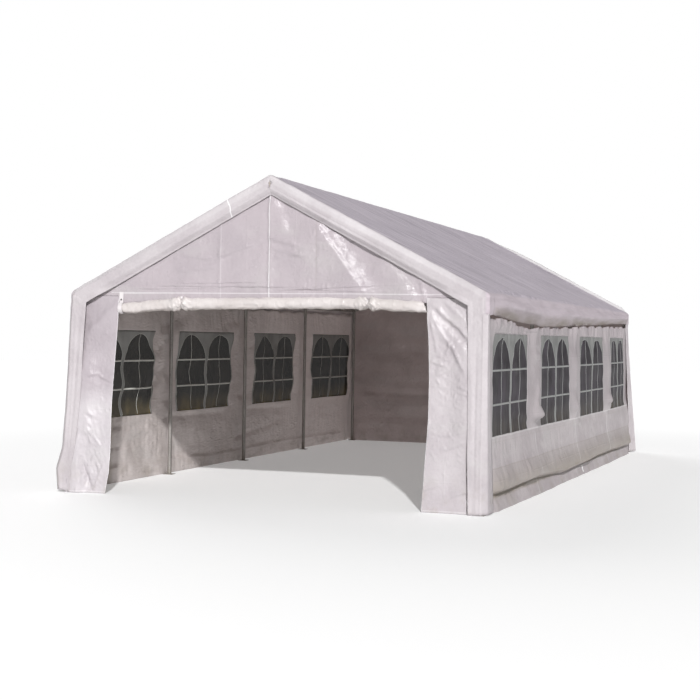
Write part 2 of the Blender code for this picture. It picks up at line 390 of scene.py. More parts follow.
def lines(*stretches):
    """Lines of the weave along one direction: each stretch is its start, its end and its squares."""
    places = [np.linspace(start, end, count, endpoint=False) for start, end, count in stretches]
    return np.concatenate(places + [[stretches[-1][1]]])


def cut_sheet(across, down):
    """A flat sheet laid out for cutting, with a square of mesh between each two lines."""
    flat = bmesh.new()
    columns = len(across) - 1
    rows = len(down) - 1
    bmesh.ops.create_grid(flat, x_segments=columns, y_segments=rows, size=1.0)
    for point in flat.verts:
        column = round((point.co.x + 1) / 2 * columns)
        row = round((point.co.y + 1) / 2 * rows)
        point.co = (across[column], down[row], 0)
    return flat


def cut_out(flat, unwanted):
    """Cuts away the squares whose middles are unwanted."""
    gone = [face for face in flat.faces if unwanted(*face.calc_center_median().xy)]
    bmesh.ops.delete(flat, geom=gone, context="FACES")


def cut_along(flat, point, beyond):
    """Cuts a sheet along a line through point, and drops what lies on the side that beyond names."""
    bmesh.ops.bisect_plane(
        flat, geom=flat.verts[:] + flat.edges[:] + flat.faces[:], dist=0.00001,
        plane_co=(*point, 0), plane_no=(*beyond, 0), clear_outer=True)


def hang_sheet(name, flat, hang, finish, thickness=SHEET_T, lining=None):
    """Hangs a cut sheet: hang turns flat places into points. The weave keeps its flat places. A
    lining is the finish of the side that faces inward."""
    mesh = bpy.data.meshes.new(name)
    flat.to_mesh(mesh)
    flat.free()
    places = np.empty(len(mesh.vertices) * 3)
    mesh.vertices.foreach_get("co", places)
    across, down = places.reshape(-1, 3).T[:2]
    corners = np.empty(len(mesh.loops), dtype=int)
    mesh.loops.foreach_get("vertex_index", corners)
    weave = mesh.uv_layers.new(name="weave")
    weave.data.foreach_set("uv", np.stack([across[corners], down[corners]], axis=1).ravel())
    points = np.stack(np.broadcast_arrays(*hang(across, down)), axis=1)
    mesh.vertices.foreach_set("co", points.ravel())
    mesh.update()
    mesh.shade_smooth()
    mesh.materials.append(finish.material)
    if lining:
        mesh.materials.append(lining.material)
    sheet = bpy.data.objects.new(name, mesh)
    bpy.context.scene.collection.objects.link(sheet)
    solid = sheet.modifiers.new("thickness", "SOLIDIFY")
    solid.thickness = thickness
    solid.offset = -1
    solid.material_offset = 1 if lining else 0
    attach(sheet, "root")
    return sheet


def push_out(sheet, lift):
    """Moves each point of a hung sheet along its own facing, by lift at its flat place."""
    mesh = sheet.data
    count = len(mesh.vertices)
    points = np.empty(count * 3)
    mesh.vertices.foreach_get("co", points)
    facing = np.empty(count * 3)
    mesh.vertex_normals.foreach_get("vector", facing)
    flat = np.empty((count, 2))
    corners = np.empty(len(mesh.loops), dtype=int)
    mesh.loops.foreach_get("vertex_index", corners)
    weave = np.empty(len(mesh.loops) * 2)
    mesh.uv_layers["weave"].data.foreach_get("uv", weave)
    flat[corners] = weave.reshape(-1, 2)
    moved = points.reshape(-1, 3) + facing.reshape(-1, 3) * lift(flat[:, 0], flat[:, 1])[:, None]
    mesh.vertices.foreach_set("co", moved.ravel())
    mesh.update()


def sheet_finish(
        name, paint=None, white=SHEET_WHITE, shade=SHEET_SHADE, dull=0.24, lie=(1, 1, 1.6),
        creases=0.0070):
    """Coated white polythene: blotches of tint, dirt near the ground, and packing creases. paint
    takes the finish, the flat places and the colour so far, and returns the colour. dull is its
    lowest roughness. lie is how much finer the dents are along each axis, except on the front and
    the back of the tent. creases is the height of its packing creases."""
    finish = Finish(name, Specular_IOR_Level=0.5)
    place = finish.where()
    weave = finish.node("ShaderNodeUVMap", "UV", {"uv_map": "weave"})
    at_ends = finish.ramp(finish.maths("ABSOLUTE", finish.part_of(place, "Y"), 0), 3.84, 3.85)
    dented = finish.blend(at_ends, finish.stretched(place, lie), finish.stretched(place, END_LIE))
    tint = finish.ramp(finish.clouds(place, 2.6, 5.0), 0.40, 0.62)
    green = finish.ramp(finish.clouds(finish.stretched(place, (0.8, 0.8, 2.1)), 2.3), 0.50, 0.75)
    grain = finish.ramp(finish.clouds(dented, 36.0, 3.0), 0.30, 0.75)
    colour = finish.blend(0.55 * tint + 0.25 * grain, white, shade)
    colour = finish.blend(0.25 * green, colour, SHEET_GREEN)
    if paint:
        colour = paint(finish, weave, colour)
    low = 1 - finish.ramp(finish.part_of(place, "Z"), 0.0, GROUND_DIRT_TOP)
    darker_patches = low * finish.ramp(finish.clouds(dented, 7.0, 5.0), 0.42, 0.75)
    colour = finish.blend(0.40 * darker_patches, colour, SHEET_DIRT_AND_SHADE)
    broken = finish.ramp(finish.clouds(place, 3.0), 0.38, 0.55)
    packed = 0
    for axis, width in zip("XY", PACK_WIDTHS):
        share = finish.maths("FRACT", finish.part_of(weave, axis) * (1 / width), 0)
        off = finish.maths("ABSOLUTE", share - 0.5, 0)
        packed = packed + (1 - finish.ramp(off, 0.0, PACK_CREASE_W / width))
    crinkles = finish.clouds(dented, 19.0, 4.0, "RIDGED_MULTIFRACTAL")
    dents = finish.clouds(dented, 8.0, 4.0)
    tape_u = finish.maths("SINE", finish.part_of(weave, "X") * (2 * math.pi / WOVEN_TAPE_W), 0)
    tape_v = finish.maths("SINE", finish.part_of(weave, "Y") * (2 * math.pi / WOVEN_TAPE_W), 0)
    creased = finish.ramp(finish.clouds(place, 1.9), 0.42, 0.62)
    relief = finish.bump(dents, 0.012)
    relief = finish.bump(packed * broken, 0.17 * creases, relief)
    relief = finish.bump(crinkles * (0.25 + creased), creases, relief)
    relief = finish.bump(tape_u * tape_v, 0.00015, relief)
    finish.apply(
        Base_Color=colour, Roughness=dull + 0.20 * finish.clouds(place, 5.0), Normal=relief)
    return finish


def seam_paint(*seams):
    """Paints welded seams and hems. Each is the axis of the weave that it crosses, its place, its
    width, how much lighter it is, and where it begins and ends. Less than 0 is darker: painted
    shade along a weld step or a crease."""
    def paint(finish, weave, colour):
        for axis, middle, width, light, start, end in seams:
            other = finish.part_of(weave, "Y" if axis == "X" else "X")
            off = finish.maths("ABSOLUTE", finish.part_of(weave, axis) - middle, 0)
            seam = 1 - finish.ramp(off, width * 0.35, width * 0.65)
            seam = seam * finish.ramp(other, start, start + 0.02)
            seam = seam * (1 - finish.ramp(other, end - 0.02, end))
            colour = finish.blend(abs(light) * seam, colour, WHITE if light > 0 else SHEET_DIRT_AND_SHADE)
        return colour
    return paint


path_step = 0.001
path = np.arange(0, 4.4, path_step)
slope_start = RIDGE_BEND * SLOPE
slope_end = slope_start + HALF_WIDTH / math.cos(SLOPE) - RIDGE_BEND * math.tan(SLOPE / 2) \
    - EAVE_BEND * math.tan((UPRIGHT - SLOPE) / 2)
wall_start = slope_end + EAVE_BEND * (UPRIGHT - SLOPE)
eave_place = (slope_end + wall_start) / 2
valance_end = eave_place + VALANCE_DROP
sleeve_end = wall_start + SLEEVE_DROP
ridge_top = RIDGE_Z - RIDGE_BEND / math.cos(SLOPE) + RIDGE_BEND


def walk(*lean):
    """x and z along one side of the cover. lean are knots of the distance below the eave, and how
    far the sleeve leans outward there."""
    knots = [(0, 0), (slope_start, SLOPE), (slope_end, SLOPE), (wall_start, UPRIGHT)]
    knots += [(wall_start + below, UPRIGHT - outward) for below, outward in lean]
    facing = np.interp(path, *zip(*knots))
    x = np.cumsum(np.cos(facing)) * path_step
    z = ridge_top - np.cumsum(np.sin(facing)) * path_step
    return x, z, facing


def end_turn(knots):
    """How far outward and how far down an end of the cover is, at each distance from the middle."""
    reach = np.arange(END_PLAIN, END_FACE, path_step)
    facing = np.interp(reach, *zip(*knots))
    outward = END_PLAIN + np.cumsum(np.cos(facing)) * path_step
    spread = (HALF_LENGTH - outward[-1]) * rise(reach, END_PLAIN, END_PLAIN + 0.2)
    return reach, outward + spread, np.cumsum(np.sin(facing)) * path_step


# Each corner's sleeve has its own line down the leg, and the inner edge of its band has one too.
left_path = walk(
    (0.10, 0.045), (0.95, 0.05), (1.40, 0.08), (1.50, 0.30), (1.62, 0.30), (1.68, -0.09), (2.0, -0.09))
right_path = walk((0.05, 0.0), (2.0, 0.016))
back_path = walk((0.25, 0.0), (0.45, 0.11), (2.0, 0.11))
left_inner = (
    (0, eave_place, wall_start + 0.33, wall_start + 0.91, wall_start + 1.40, wall_start + 1.60,
     sleeve_end),
    (0, 1.843, 1.866, 1.890, 1.942, 1.983, 1.993))
right_inner = (
    (0, eave_place, wall_start + 0.87, wall_start + 1.30, sleeve_end),
    (0, 1.846, 1.861, 1.863, 1.879))
back_inner = ((0, eave_place, wall_start + 0.45, sleeve_end), (0, 1.843, 1.85, 1.98))
ridge_turn = end_turn(RIDGE_TURN)
eave_turn = end_turn(EAVE_TURN)


def by_corner(right, back, read, left_front, right_front, both_back):
    """Reads what belongs to each corner: the two front ones differ, and the back ones are alike."""
    front = np.where(right, read(right_front), read(left_front))
    return np.where(back, read(both_back), front)


def hang_cover(across, along):
    """across runs over the ridge from the left foot to the right foot, along runs to the back."""
    right = across >= 0
    back = along > 0
    distance = np.abs(across)
    reach = np.abs(along)
    corner_paths = (left_path, right_path, back_path)
    outer_x = by_corner(right, back, lambda one: np.interp(distance, path, one[0]), *corner_paths)
    outer_z = by_corner(right, back, lambda one: np.interp(distance, path, one[1]), *corner_paths)
    facing = by_corner(right, back, lambda one: np.interp(distance, path, one[2]), *corner_paths)
    inner_x = by_corner(
        right, back, lambda one: np.interp(distance, *one), left_inner, right_inner, back_inner)
    inner_z = np.interp(
        distance, [0, eave_place, sleeve_end], [BAND_INNER_APEX, BAND_INNER_CORNER_Z, HEM_Z])
    hem_shift = np.interp(along, *VALANCE_HEM) - np.interp(valance_end, path, right_path[1])
    hem_share = np.interp(distance, [eave_place, valance_end, valance_end + 0.5], [0, 1, 0])
    outer_z = np.maximum(outer_z + hem_shift * hem_share, HEM_Z)

    low = rise(distance, 0.3, slope_end)
    outward = [np.interp(reach, turn[0], turn[1]) for turn in (ridge_turn, eave_turn)]
    drop = [np.interp(reach, turn[0], turn[2]) for turn in (ridge_turn, eave_turn)]
    y = np.where(reach > END_PLAIN, outward[0] + (outward[1] - outward[0]) * low, reach)
    drop = np.where(reach > END_PLAIN, drop[0] + (drop[1] - drop[0]) * low, 0)
    on_sleeve = distance > valance_end
    beside = np.clip((END_FACE - reach) / (END_FACE - SLEEVE_EDGE), 0, 1) * on_sleeve
    flap_edge = np.interp(outer_z, *FLAP_EDGE)
    y = y + beside * (np.where(right & ~back, flap_edge, SLEEVE_EDGE) - SLEEVE_EDGE)
    outer_x = outer_x + beside * back * (np.interp(outer_z, *BACK_FLAP) - outer_x)
    face = np.clip((reach - END_FACE) / FACE_LENGTH, 0, 1)
    y = y + FACE_RIPPLE * np.sin(np.pi * face) * (ripple(face * 4.5, distance / 1.3, 12) - 0.5)
    bent_back = rise(face, 0.45, 1.0) * (1 - rise(distance, slope_end - 0.35, slope_end - 0.05))
    y = y - FACE_BACK * bent_back
    x = outer_x - drop * np.sin(facing)
    z = outer_z - drop * np.cos(facing)
    x = x + (inner_x - x) * face
    z = z + (inner_z - z) * face
    return np.where(right, x, -x), np.where(back, y, -y), z


def cover_lift(across, along):
    """Sag between the rafters, creases along the weave, soft folds in the valances and sleeves, and a
    crest where the cover turns down at the back."""
    distance = np.abs(across)
    reach = np.abs(along)
    on_slope = 1 - rise(distance, slope_end - 0.1, slope_end)
    on_top = 1 - rise(reach, 3.8, 3.93)
    between = np.sin(np.pi * (along + frame_y) / bay) ** 2
    middle = np.sin(np.pi * np.clip(distance / slope_end, 0, 1)) ** 2
    sag = -SAG * between * middle * on_slope * on_top
    slant = along - RAIN_LEAN * distance
    streaks = 0.0030 * ripple(across / 0.09, slant / 0.9, 3)
    streaks = streaks + 0.0022 * ripple(across / 0.2, slant / 0.5, 4)
    crumples = 0.0022 * crumple(across / 0.3, along / 0.4, 5)
    hanging = np.clip((distance - wall_start) / (valance_end - wall_start), 0, 1)
    on_valance = distance < valance_end + 0.001
    tuck = np.where(across > 0, BELLY_TUCK["right"], BELLY_TUCK["left"])
    belly = on_valance * (BELLY * np.sin(np.pi * hanging ** 0.8) - tuck * hanging)
    lumps = 0.018 * ripple(along / 0.34, across / 0.16, 7) + 0.016 * ripple(along / 0.9, across, 8)
    pinch = 0.010 * crumple(along / 0.7, across / 0.10, 9)
    pinch = pinch + 0.010 * ripple(along / 0.7, across / 0.14, 13)
    pinch = pinch + 1.6 * folded(distance, along, EAVE_FOLDS)
    pinch = rise(distance, slope_end - 0.20, wall_start) * pinch
    at_eave = (belly + on_valance * (hanging * lumps + pinch)) * (1 - rise(reach, 3.55, 3.94))
    sleeves = (1 - on_valance) * 0.006 * ripple(along / 0.055, across / 0.9, 10)
    crest = BACK_CREST * hump(along, 3.975, 0.034) * rise(distance, 0.15, 0.60)
    crest = on_slope * (crest - 0.010 * hump(reach, 3.86, 0.06))
    return sag + crest + streaks + crumples * on_slope + at_eave + sleeves


def cover_paint(finish, weave, colour):
    """The slopes and valances have gone grey, and rain has left streaks down the slopes. The grey
    reaches further out at the eaves, where the valance laps over the sleeve. The lower part of each
    valance, where it turns under, is painted darker as painted shade, and a band along the facet at
    the front end is painted a little lighter as painted highlight. The ends are white, and whitest
    on the crest at the back."""
    across = finish.maths("ABSOLUTE", finish.part_of(weave, "X"), 0)
    along = finish.maths("ABSOLUTE", finish.part_of(weave, "Y"), 0)
    hangs = finish.ramp(across, slope_end - 0.02, slope_end + 0.03)
    back = finish.part_of(weave, "Y")
    lean = finish.node("ShaderNodeCombineXYZ", "Vector", {}, X=across, Y=back - RAIN_LEAN * across)
    streaks = finish.ramp(finish.clouds(finish.stretched(lean, (0.7, 10, 1)), 2.0, 4.0), 0.37, 0.64)
    blotches = finish.ramp(finish.clouds(finish.stretched(weave, (6, 1, 1)), 1.8, 5.0), 0.35, 0.70)
    grey = finish.blend(streaks * (1 - hangs) + blotches * hangs, ROOF_GREY, ROOF_GREY_DARK)
    scuffs = finish.ramp(finish.clouds(finish.stretched(lean, (0.5, 20, 1)), 2.6, 3.0), 0.58, 0.74)
    grey = finish.blend(0.3 * scuffs * (1 - hangs), grey, LINING_WHITE)
    grey = finish.blend(0.6 * hangs, grey, VALANCE_GREY)
    # Painted shade: the lower part of the valance, where it turns under, is painted darker.
    darkening = finish.ramp(across, valance_end - 0.135, valance_end - 0.02) * (0.40 + 0.5 * blotches)
    darkening = darkening * (1 - finish.ramp(along, 3.75, 3.90))
    grey = finish.blend(darkening, grey, SHEET_DIRT_AND_SHADE)
    ends = finish.ramp(along - 0.060 * hangs, 3.950, 3.972)
    back_edge = finish.ramp(back, 3.90, 3.92) * (1 - hangs)
    ends = finish.maths("MAXIMUM", ends, back_edge)
    sleeves = finish.ramp(across, valance_end - 0.002, valance_end + 0.002)
    colour = finish.blend(finish.maths("MAXIMUM", ends, sleeves), grey, colour)
    colour = finish.blend(0.35 * back_edge * (1 - finish.ramp(back, 3.995, 4.010)), colour, WHITE)
    # The second seam is a painted highlight: a faint lighter band along the facet at the front end.
    return seam_paint(
        ("X", -0.470, 0.012, 0.5, -4.3, -3.95),
        ("Y", -4.005, 0.075, 0.10, -2.24, 2.24))(finish, weave, colour)


cover_side = lines(
    (0, slope_start, 2), (slope_start, 2.10, 46), (2.10, slope_end, 13), (slope_end, wall_start, 6),
    (wall_start, valance_end - 0.004, 12), (valance_end - 0.004, valance_end + 0.004, 1),
    (valance_end + 0.004, sleeve_end, 50))
cover_across = np.concatenate([-cover_side[:0:-1], cover_side])
cover_end = lines(
    (SLEEVE_EDGE, 3.969, 5), (3.969, 3.997, 4), (3.997, 4.040, 2), (4.040, END_FACE, 4),
    (END_FACE, END_FACE + FACE_LENGTH, 14))
cover_between = lines((-SLEEVE_EDGE, SLEEVE_EDGE, 190))[1:-1]
cover_along = np.concatenate([-cover_end[::-1], cover_between, cover_end])
cover_flat = cut_sheet(cover_across, cover_along)
cut_out(cover_flat, lambda across, along: abs(across) > valance_end and abs(along) < SLEEVE_EDGE)


def lining_painted_light_and_shade(finish, weave, colour):
    """The inside is painted lighter toward the back of the tent, as painted light, and darker beside
    the doorway, as painted shade.
    """
    back = finish.part_of(finish.where(), "Y")
    # Painted light, growing toward the back.
    colour = finish.blend(finish.ramp(back, -1.6, 3.0), colour, LINING_PAINTED_LIGHT)
    # Painted shade beside the doorway.
    return finish.blend(0.60 - 0.60 * finish.ramp(back, -3.22, -3.10), colour, SHEET_DIRT_AND_SHADE)


lining_finish = sheet_finish(
    "lining_sheet", lining_painted_light_and_shade, LINING_WHITE, LINING_SHADE, dull=0.30, lie=(0.5, 0.5, 1.6))
cover_finish = sheet_finish(
    "roof_sheet", cover_paint, COVER_WHITE, COVER_SHADE, dull=0.48, lie=(0.9, 0.5, 2.0),
    creases=0.0035)
roof_cover = hang_sheet("cover", cover_flat, hang_cover, cover_finish, lining=lining_finish)
push_out(roof_cover, cover_lift)
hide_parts("roof_cover")

# Front gable: a triangle of the same polythene behind the front rafters. It is welded from upright
# strips, and its double hem carries the rolled door.
GABLE_FOOT = 1.857
GABLE_HEM = 1.889
ROLL_LINE = ((-1.52, -0.885, 0.0, 0.86, 1.40, 1.47), (1.744, 1.790, 1.803, 1.811, 1.783, 1.775))
DOOR_HALF = 1.50
CLEAR = 0.0004
GABLE_WHITE = (0.445, 0.395, 0.420, 1)
GABLE_SHADE = (0.395, 0.350, 0.375, 1)
GABLE_FOLDS = (            # from, to, width, height, step
    ((-0.012, 2.86), (-0.012, 1.60), 0.010, 0.012, 0.008),
    ((-0.490, 2.56), (-0.505, 1.80), 0.016, 0.008, 0.000),
    ((0.447, 2.60), (0.440, 1.80), 0.010, -0.006, 0.003),
    ((0.400, 2.66), (1.120, 1.70), 0.080, 0.006, -0.032),
    ((0.400, 2.56), (1.000, 1.78), 0.014, 0.013, -0.006),
    ((1.020, 2.28), (1.540, 1.66), 0.050, 0.004, -0.014),
    ((1.390, 2.06), (1.480, 1.74), 0.012, 0.014, 0.000),
    ((-1.300, 1.955), (0.900, 1.945), 0.008, 0.009, 0.006),
    ((0.000, 1.915), (1.300, 1.975), 0.008, 0.008, 0.005),
    ((-1.400, 1.925), (-0.300, 1.935), 0.008, 0.007, 0.004),
    ((-0.050, 2.40), (0.360, 2.29), 0.016, 0.014, 0.006),
    ((-0.560, 2.20), (-0.060, 2.37), 0.016, 0.013, 0.006),
    ((-0.020, 2.30), (0.420, 2.20), 0.014, 0.012, 0.005),
    ((0.020, 2.21), (0.380, 2.24), 0.014, 0.010, 0.004),
    ((-1.000, 2.08), (-0.450, 2.14), 0.014, 0.010, 0.004),
    ((-0.900, 2.24), (-0.520, 2.19), 0.014, 0.010, 0.004),
    ((0.030, 2.76), (0.230, 2.33), 0.040, 0.003, -0.012),
    ((-1.000, 1.975), (0.100, 1.995), 0.008, 0.008, 0.005),
    ((0.150, 1.935), (1.050, 1.905), 0.007, 0.007, 0.004),
)
gable_y = frame_y - CONNECTOR_R - CLEAR
gable_reach = leg_x - CONNECTOR_R
gable_top_z = rail_high.z - 2 * CONNECTOR_R - CLEAR + math.tan(SLOPE) * gable_reach


def gable_lift(x, z):
    """How far the gable stands out from its plane. It is jagged beside the long crease that runs down
    from the right rafter."""
    under_rafter = gable_top_z - math.tan(SLOPE) * np.abs(x) - z
    at_strip = rise(np.abs(x), 1.5, 1.7) * (1 - rise(z, GABLE_FOOT, 1.93))
    free = rise(under_rafter, 0.04, 0.22) * (1 - at_strip)
    soft = 0.012 * ripple(x / 0.50, z / 0.35, 21) + 0.0040 * crumple(x / 0.26, z / 0.12, 22)
    beside_shine = x - 0.39 - 0.76 * (2.60 - z)
    jagged = 0.0035 * crumple(beside_shine / 0.06, z / 0.40, 23)
    jagged = jagged * hump(beside_shine, 0.02, 0.10) * rise(x, 0.3, 0.5)
    return free * (0.004 + soft + jagged + folded(x, z, GABLE_FOLDS))


def hang_gable(x, z):
    """Below the hem, the sheet reaches down to the top of the rolled door."""
    behind_roll = np.interp(x, *ROLL_LINE) + 0.036
    foot = behind_roll + (GABLE_FOOT - behind_roll) * rise(np.abs(x), DOOR_HALF, DOOR_HALF + 0.04)
    below = np.clip((GABLE_HEM - z) / (GABLE_HEM - GABLE_FOOT), 0, 1)
    return x, -gable_y - gable_lift(x, z), z + below * (foot - GABLE_FOOT)


gable_flat = cut_sheet(
    lines((-gable_reach, gable_reach, 250)),
    lines((GABLE_FOOT, GABLE_HEM, 4), (GABLE_HEM, 2.02, 24), (2.02, gable_top_z, 62)))
for side in (-1, 1):
    cut_along(gable_flat, (0, gable_top_z), (side * math.sin(SLOPE), math.cos(SLOPE)))
# The dark line at x 0.443 is painted shade along a crease.
gable_paint = seam_paint(
    ("Y", GABLE_HEM, 0.007, 0.25, -1.62, 1.62), ("X", -0.012, 0.010, 0.5, 1.8, 2.9),
    ("X", -0.49, 0.008, 0.12, 1.8, 2.6), ("X", 0.443, 0.008, -0.15, 1.9, 2.6))
gable_finish = sheet_finish("gable_sheet", gable_paint, GABLE_WHITE, GABLE_SHADE, dull=0.19)
front_gable = hang_sheet("gable", gable_flat, hang_gable, gable_finish)
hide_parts("front_gable")

# Front strips: the narrow walls beside the doorway, hemmed along its edge. They hang from the gable
# and are tied to the corner legs, so the top corners at the doorway pull into fans of folds.
STRIP_W = 0.50
STRIP_TOP = 1.857
STRIP_REACH = 0.054
# The left strip is given darker colours than the right, as painted shade for its upper part, which is
# turned from the light. A wide band low on each strip is painted lighter, most on the left, as painted
# sheen.
STRIP_WHITE_LEFT_PAINTED_SHADE = {"left": (0.450, 0.404, 0.430, 1), "right": (0.520, 0.480, 0.497, 1)}
STRIP_SHADE_LEFT_PAINTED_SHADE = {"left": (0.375, 0.331, 0.357, 1), "right": (0.430, 0.387, 0.409, 1)}
STRIP_PAINTED_SHEEN = {"left": 0.18, "right": 0.02}
LEG_SIDE = 1.944
LEFT_DOOR_EDGE = (
    (0.0, 0.20, 0.41, 0.88, 1.07, 1.35, 1.66, STRIP_TOP),
    (-1.645, -1.608, -1.597, -1.585, -1.571, -1.549, -1.522, -1.515))
RIGHT_DOOR_EDGE = (
    (0.0, 0.28, 0.63, 0.80, 1.15, 1.45, 1.73, STRIP_TOP),
    (1.446, 1.465, 1.486, 1.496, 1.499, 1.491, 1.471, 1.465))
LEFT_LEG_EDGE = ((0.0, 0.27, 0.46, 0.62), (-2.045, -2.010, -1.965, -LEG_SIDE))
RIGHT_LEG_EDGE = ((0.0, 0.11, 0.21, 0.35, 0.50, 0.62), (1.864, 1.852, 1.868, 1.847, 1.874, LEG_SIDE))
LEFT_STRIP_FOLDS = (
    ((-2.000, 0.850), (-1.700, 0.690), 0.012, 0.020, 0.008),
    ((-1.960, 0.755), (-1.760, 0.620), 0.010, 0.016, 0.005),
    ((-1.950, 0.420), (-1.760, -0.04), 0.020, -0.026, 0.012),
    ((-1.960, 0.330), (-1.880, 0.000), 0.014, 0.014, 0.000),
    ((-1.930, 1.080), (-1.680, 1.130), 0.010, 0.012, 0.005),
    ((-1.730, 1.110), (-1.540, 1.020), 0.010, 0.012, 0.005),
    ((-1.500, 1.820), (-1.960, 1.430), 0.040, 0.008, 0.008),
    ((-1.900, 0.700), (-1.640, 0.380), 0.014, 0.014, 0.000),
    ((-1.860, 0.620), (-1.700, 0.300), 0.012, 0.012, 0.000),
    ((-1.800, 0.300), (-1.640, 0.480), 0.012, 0.010, 0.000),
    ((-1.760, 0.050), (-1.650, 0.300), 0.012, 0.014, 0.000),
)
RIGHT_STRIP_FOLDS = (
    ((1.450, 1.850), (2.080, 1.330), 0.020, 0.024, 0.014),
    ((1.460, 1.810), (1.960, 1.260), 0.030, 0.010, -0.012),
    ((1.470, 1.780), (1.720, 1.380), 0.014, 0.012, -0.004),
    ((1.580, 1.880), (1.830, 1.640), 0.024, 0.012, 0.005),
    ((1.640, 1.530), (1.860, 1.160), 0.016, 0.014, 0.005),
    ((1.500, 1.700), (1.590, 1.300), 0.012, 0.010, 0.003),
    ((1.640, 1.360), (1.700, 1.500), 0.010, 0.012, 0.000),
    ((1.685, 1.490), (1.790, 1.300), 0.010, 0.012, 0.000),
    ((1.500, 1.315), (1.690, 1.250), 0.010, 0.012, 0.004),
    ((1.560, 1.180), (1.700, 1.250), 0.010, 0.011, 0.004),
    ((1.740, 1.100), (1.930, 1.050), 0.009, 0.009, 0.004),
    ((1.740, 1.050), (1.930, 1.010), 0.009, 0.008, 0.004),
    ((1.600, 0.650), (1.900, 0.730), 0.014, 0.007, 0.004),
    ((1.620, 0.530), (1.880, 0.640), 0.014, 0.007, 0.004),
    ((1.440, 0.190), (1.640, 0.240), 0.010, 0.010, 0.004),
    ((1.700, 0.140), (1.920, 0.220), 0.012, 0.012, 0.005),
)


def left_strip_lift(x, z):
    """How far the left strip stands out: folds, a crumpled patch low down, and a bulge at the sleeve."""
    worn = hump(x, -1.76, 0.14) * hump(z, 0.42, 0.30)
    patch = worn * 0.013 * crumple((x + 0.4 * z) / 0.060, z / 0.15, 31)
    to_sleeve = 0.052 * rise(-x, 1.66, 1.86) * rise(z, 0.35, 0.70) * (1 - rise(z, 1.10, 1.45))
    lean = 0.016 * rise(x, -1.92, -1.54) * rise(z, 1.10, 1.78)
    folds = folded(x, z, LEFT_STRIP_FOLDS)
    return patch + to_sleeve + lean + folds + 0.004 * crumple(x / 0.24, z / 0.3, 32)


def right_strip_lift(x, z):
    """The same for the right strip, which lies flat beside the end of the rolled door."""
    worn = hump(x, 1.6, 0.16) * hump(z, 1.25, 0.28)
    patch = worn * 0.008 * crumple(x / 0.08, z / 0.08, 33)
    to_sleeve = 0.040 * rise(x, 1.66, 1.86) * rise(z, 0.45, 0.80) * (1 - rise(z, 1.50, 1.75))
    beside_roll = 1 - (1 - rise(x, 1.48, 1.57)) * rise(z, 1.64, 1.72)
    folds = folded(x, z, RIGHT_STRIP_FOLDS) + 0.003 * crumple(x / 0.26, z / 0.3, 34)
    return beside_roll * (patch + to_sleeve + folds)


def hang_strip(sign, door_edge, leg_edge, lift):
    """The strip's flat width is spread from the leg to the doorway's leaning edge. Near the ground
    it is drawn round in front of the leg."""
    def hang(across, z):
        door = np.interp(z, *door_edge)
        leg = np.interp(z, *leg_edge)
        share = across / STRIP_W if sign < 0 else 1 - across / STRIP_W
        x = leg + (door - leg) * share
        top = 1 - rise(z, 1.80, STRIP_TOP)
        out = 0.004 + top * (lift(x, z) + 0.010 * ripple(x / 0.22, z / 0.7, 35))
        under_sleeve = rise(np.abs(x), 1.76, 1.83)
        out = out + (np.minimum(out, STRIP_REACH) - out) * under_sleeve
        round_leg = rise(np.abs(x), 1.84, 1.93) * (1 - rise(z, 0.50, 0.62)) * (leg < 0)
        return x, -gable_y - out - (STRIP_REACH - out) * round_leg, z
    return hang


STRIPS = {
    "left": (-1, LEFT_DOOR_EDGE, LEFT_LEG_EDGE, left_strip_lift),
    "right": (1, RIGHT_DOOR_EDGE, RIGHT_LEG_EDGE, right_strip_lift),
}
for name, (sign, door_edge, leg_edge, lift) in STRIPS.items():
    hem = STRIP_W if sign < 0 else 0.0
    # The first band below is painted sheen.
    paint = seam_paint(
        ("Y", 0.44, 1.00, STRIP_PAINTED_SHEEN[name], 0.0, 0.6), ("X", hem, 0.014, 0.35, 0.0, 1.9),
        ("Y", HEM_Z + 0.012, 0.016, 0.15, -0.1, 0.6))
    strip = hang_sheet(
        f"strip_{name}", cut_sheet(lines((0, STRIP_W, 46)), lines((HEM_Z, STRIP_TOP, 170))),
        hang_strip(sign, door_edge, leg_edge, lift),
        sheet_finish(f"strip_{name}_sheet", paint, STRIP_WHITE_LEFT_PAINTED_SHADE[name], STRIP_SHADE_LEFT_PAINTED_SHADE[name]))
    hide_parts(f"front_strip_{name}")

# Rolled door: the doorway's sheet, wound up from the ground and tied under the gable. Both ends hang
# a little, and the two tapes nip the roll in, so that its cloth stands up beside them.
ROLL_TURNS = 9
ROLL_CORE = 0.012
ROLL_END = math.radians(65)
ROLL_LEFT = -1.520
ROLL_RIGHT = 1.462
ROLL_Y = -3.963
ROLL_R = 0.0535
ROLL_THICKNESS = (
    (-1.52, -1.40, -0.885, 0.0, 0.86, 1.40, 1.47),
    (0.88, 0.93, 1.05, 1.0, 1.02, 0.92, 0.86))
ROLL_TAPES = (-0.880, 0.930)
ROLL_FLAP = 0.03
ROLL_CLOTH_T = 0.001
DOOR_WHITE = (0.64, 0.595, 0.585, 1)
DOOR_SHADE = (0.54, 0.49, 0.475, 1)

roll_angles = lines(
    (0, 2 * np.pi * (ROLL_TURNS - 1.3), 104),
    (2 * np.pi * (ROLL_TURNS - 1.3), 2 * np.pi * ROLL_TURNS, 50))
roll_growth = (ROLL_R - ROLL_CORE) / roll_angles[-1]
roll_lengths = ROLL_CORE * roll_angles + roll_growth * roll_angles ** 2 / 2


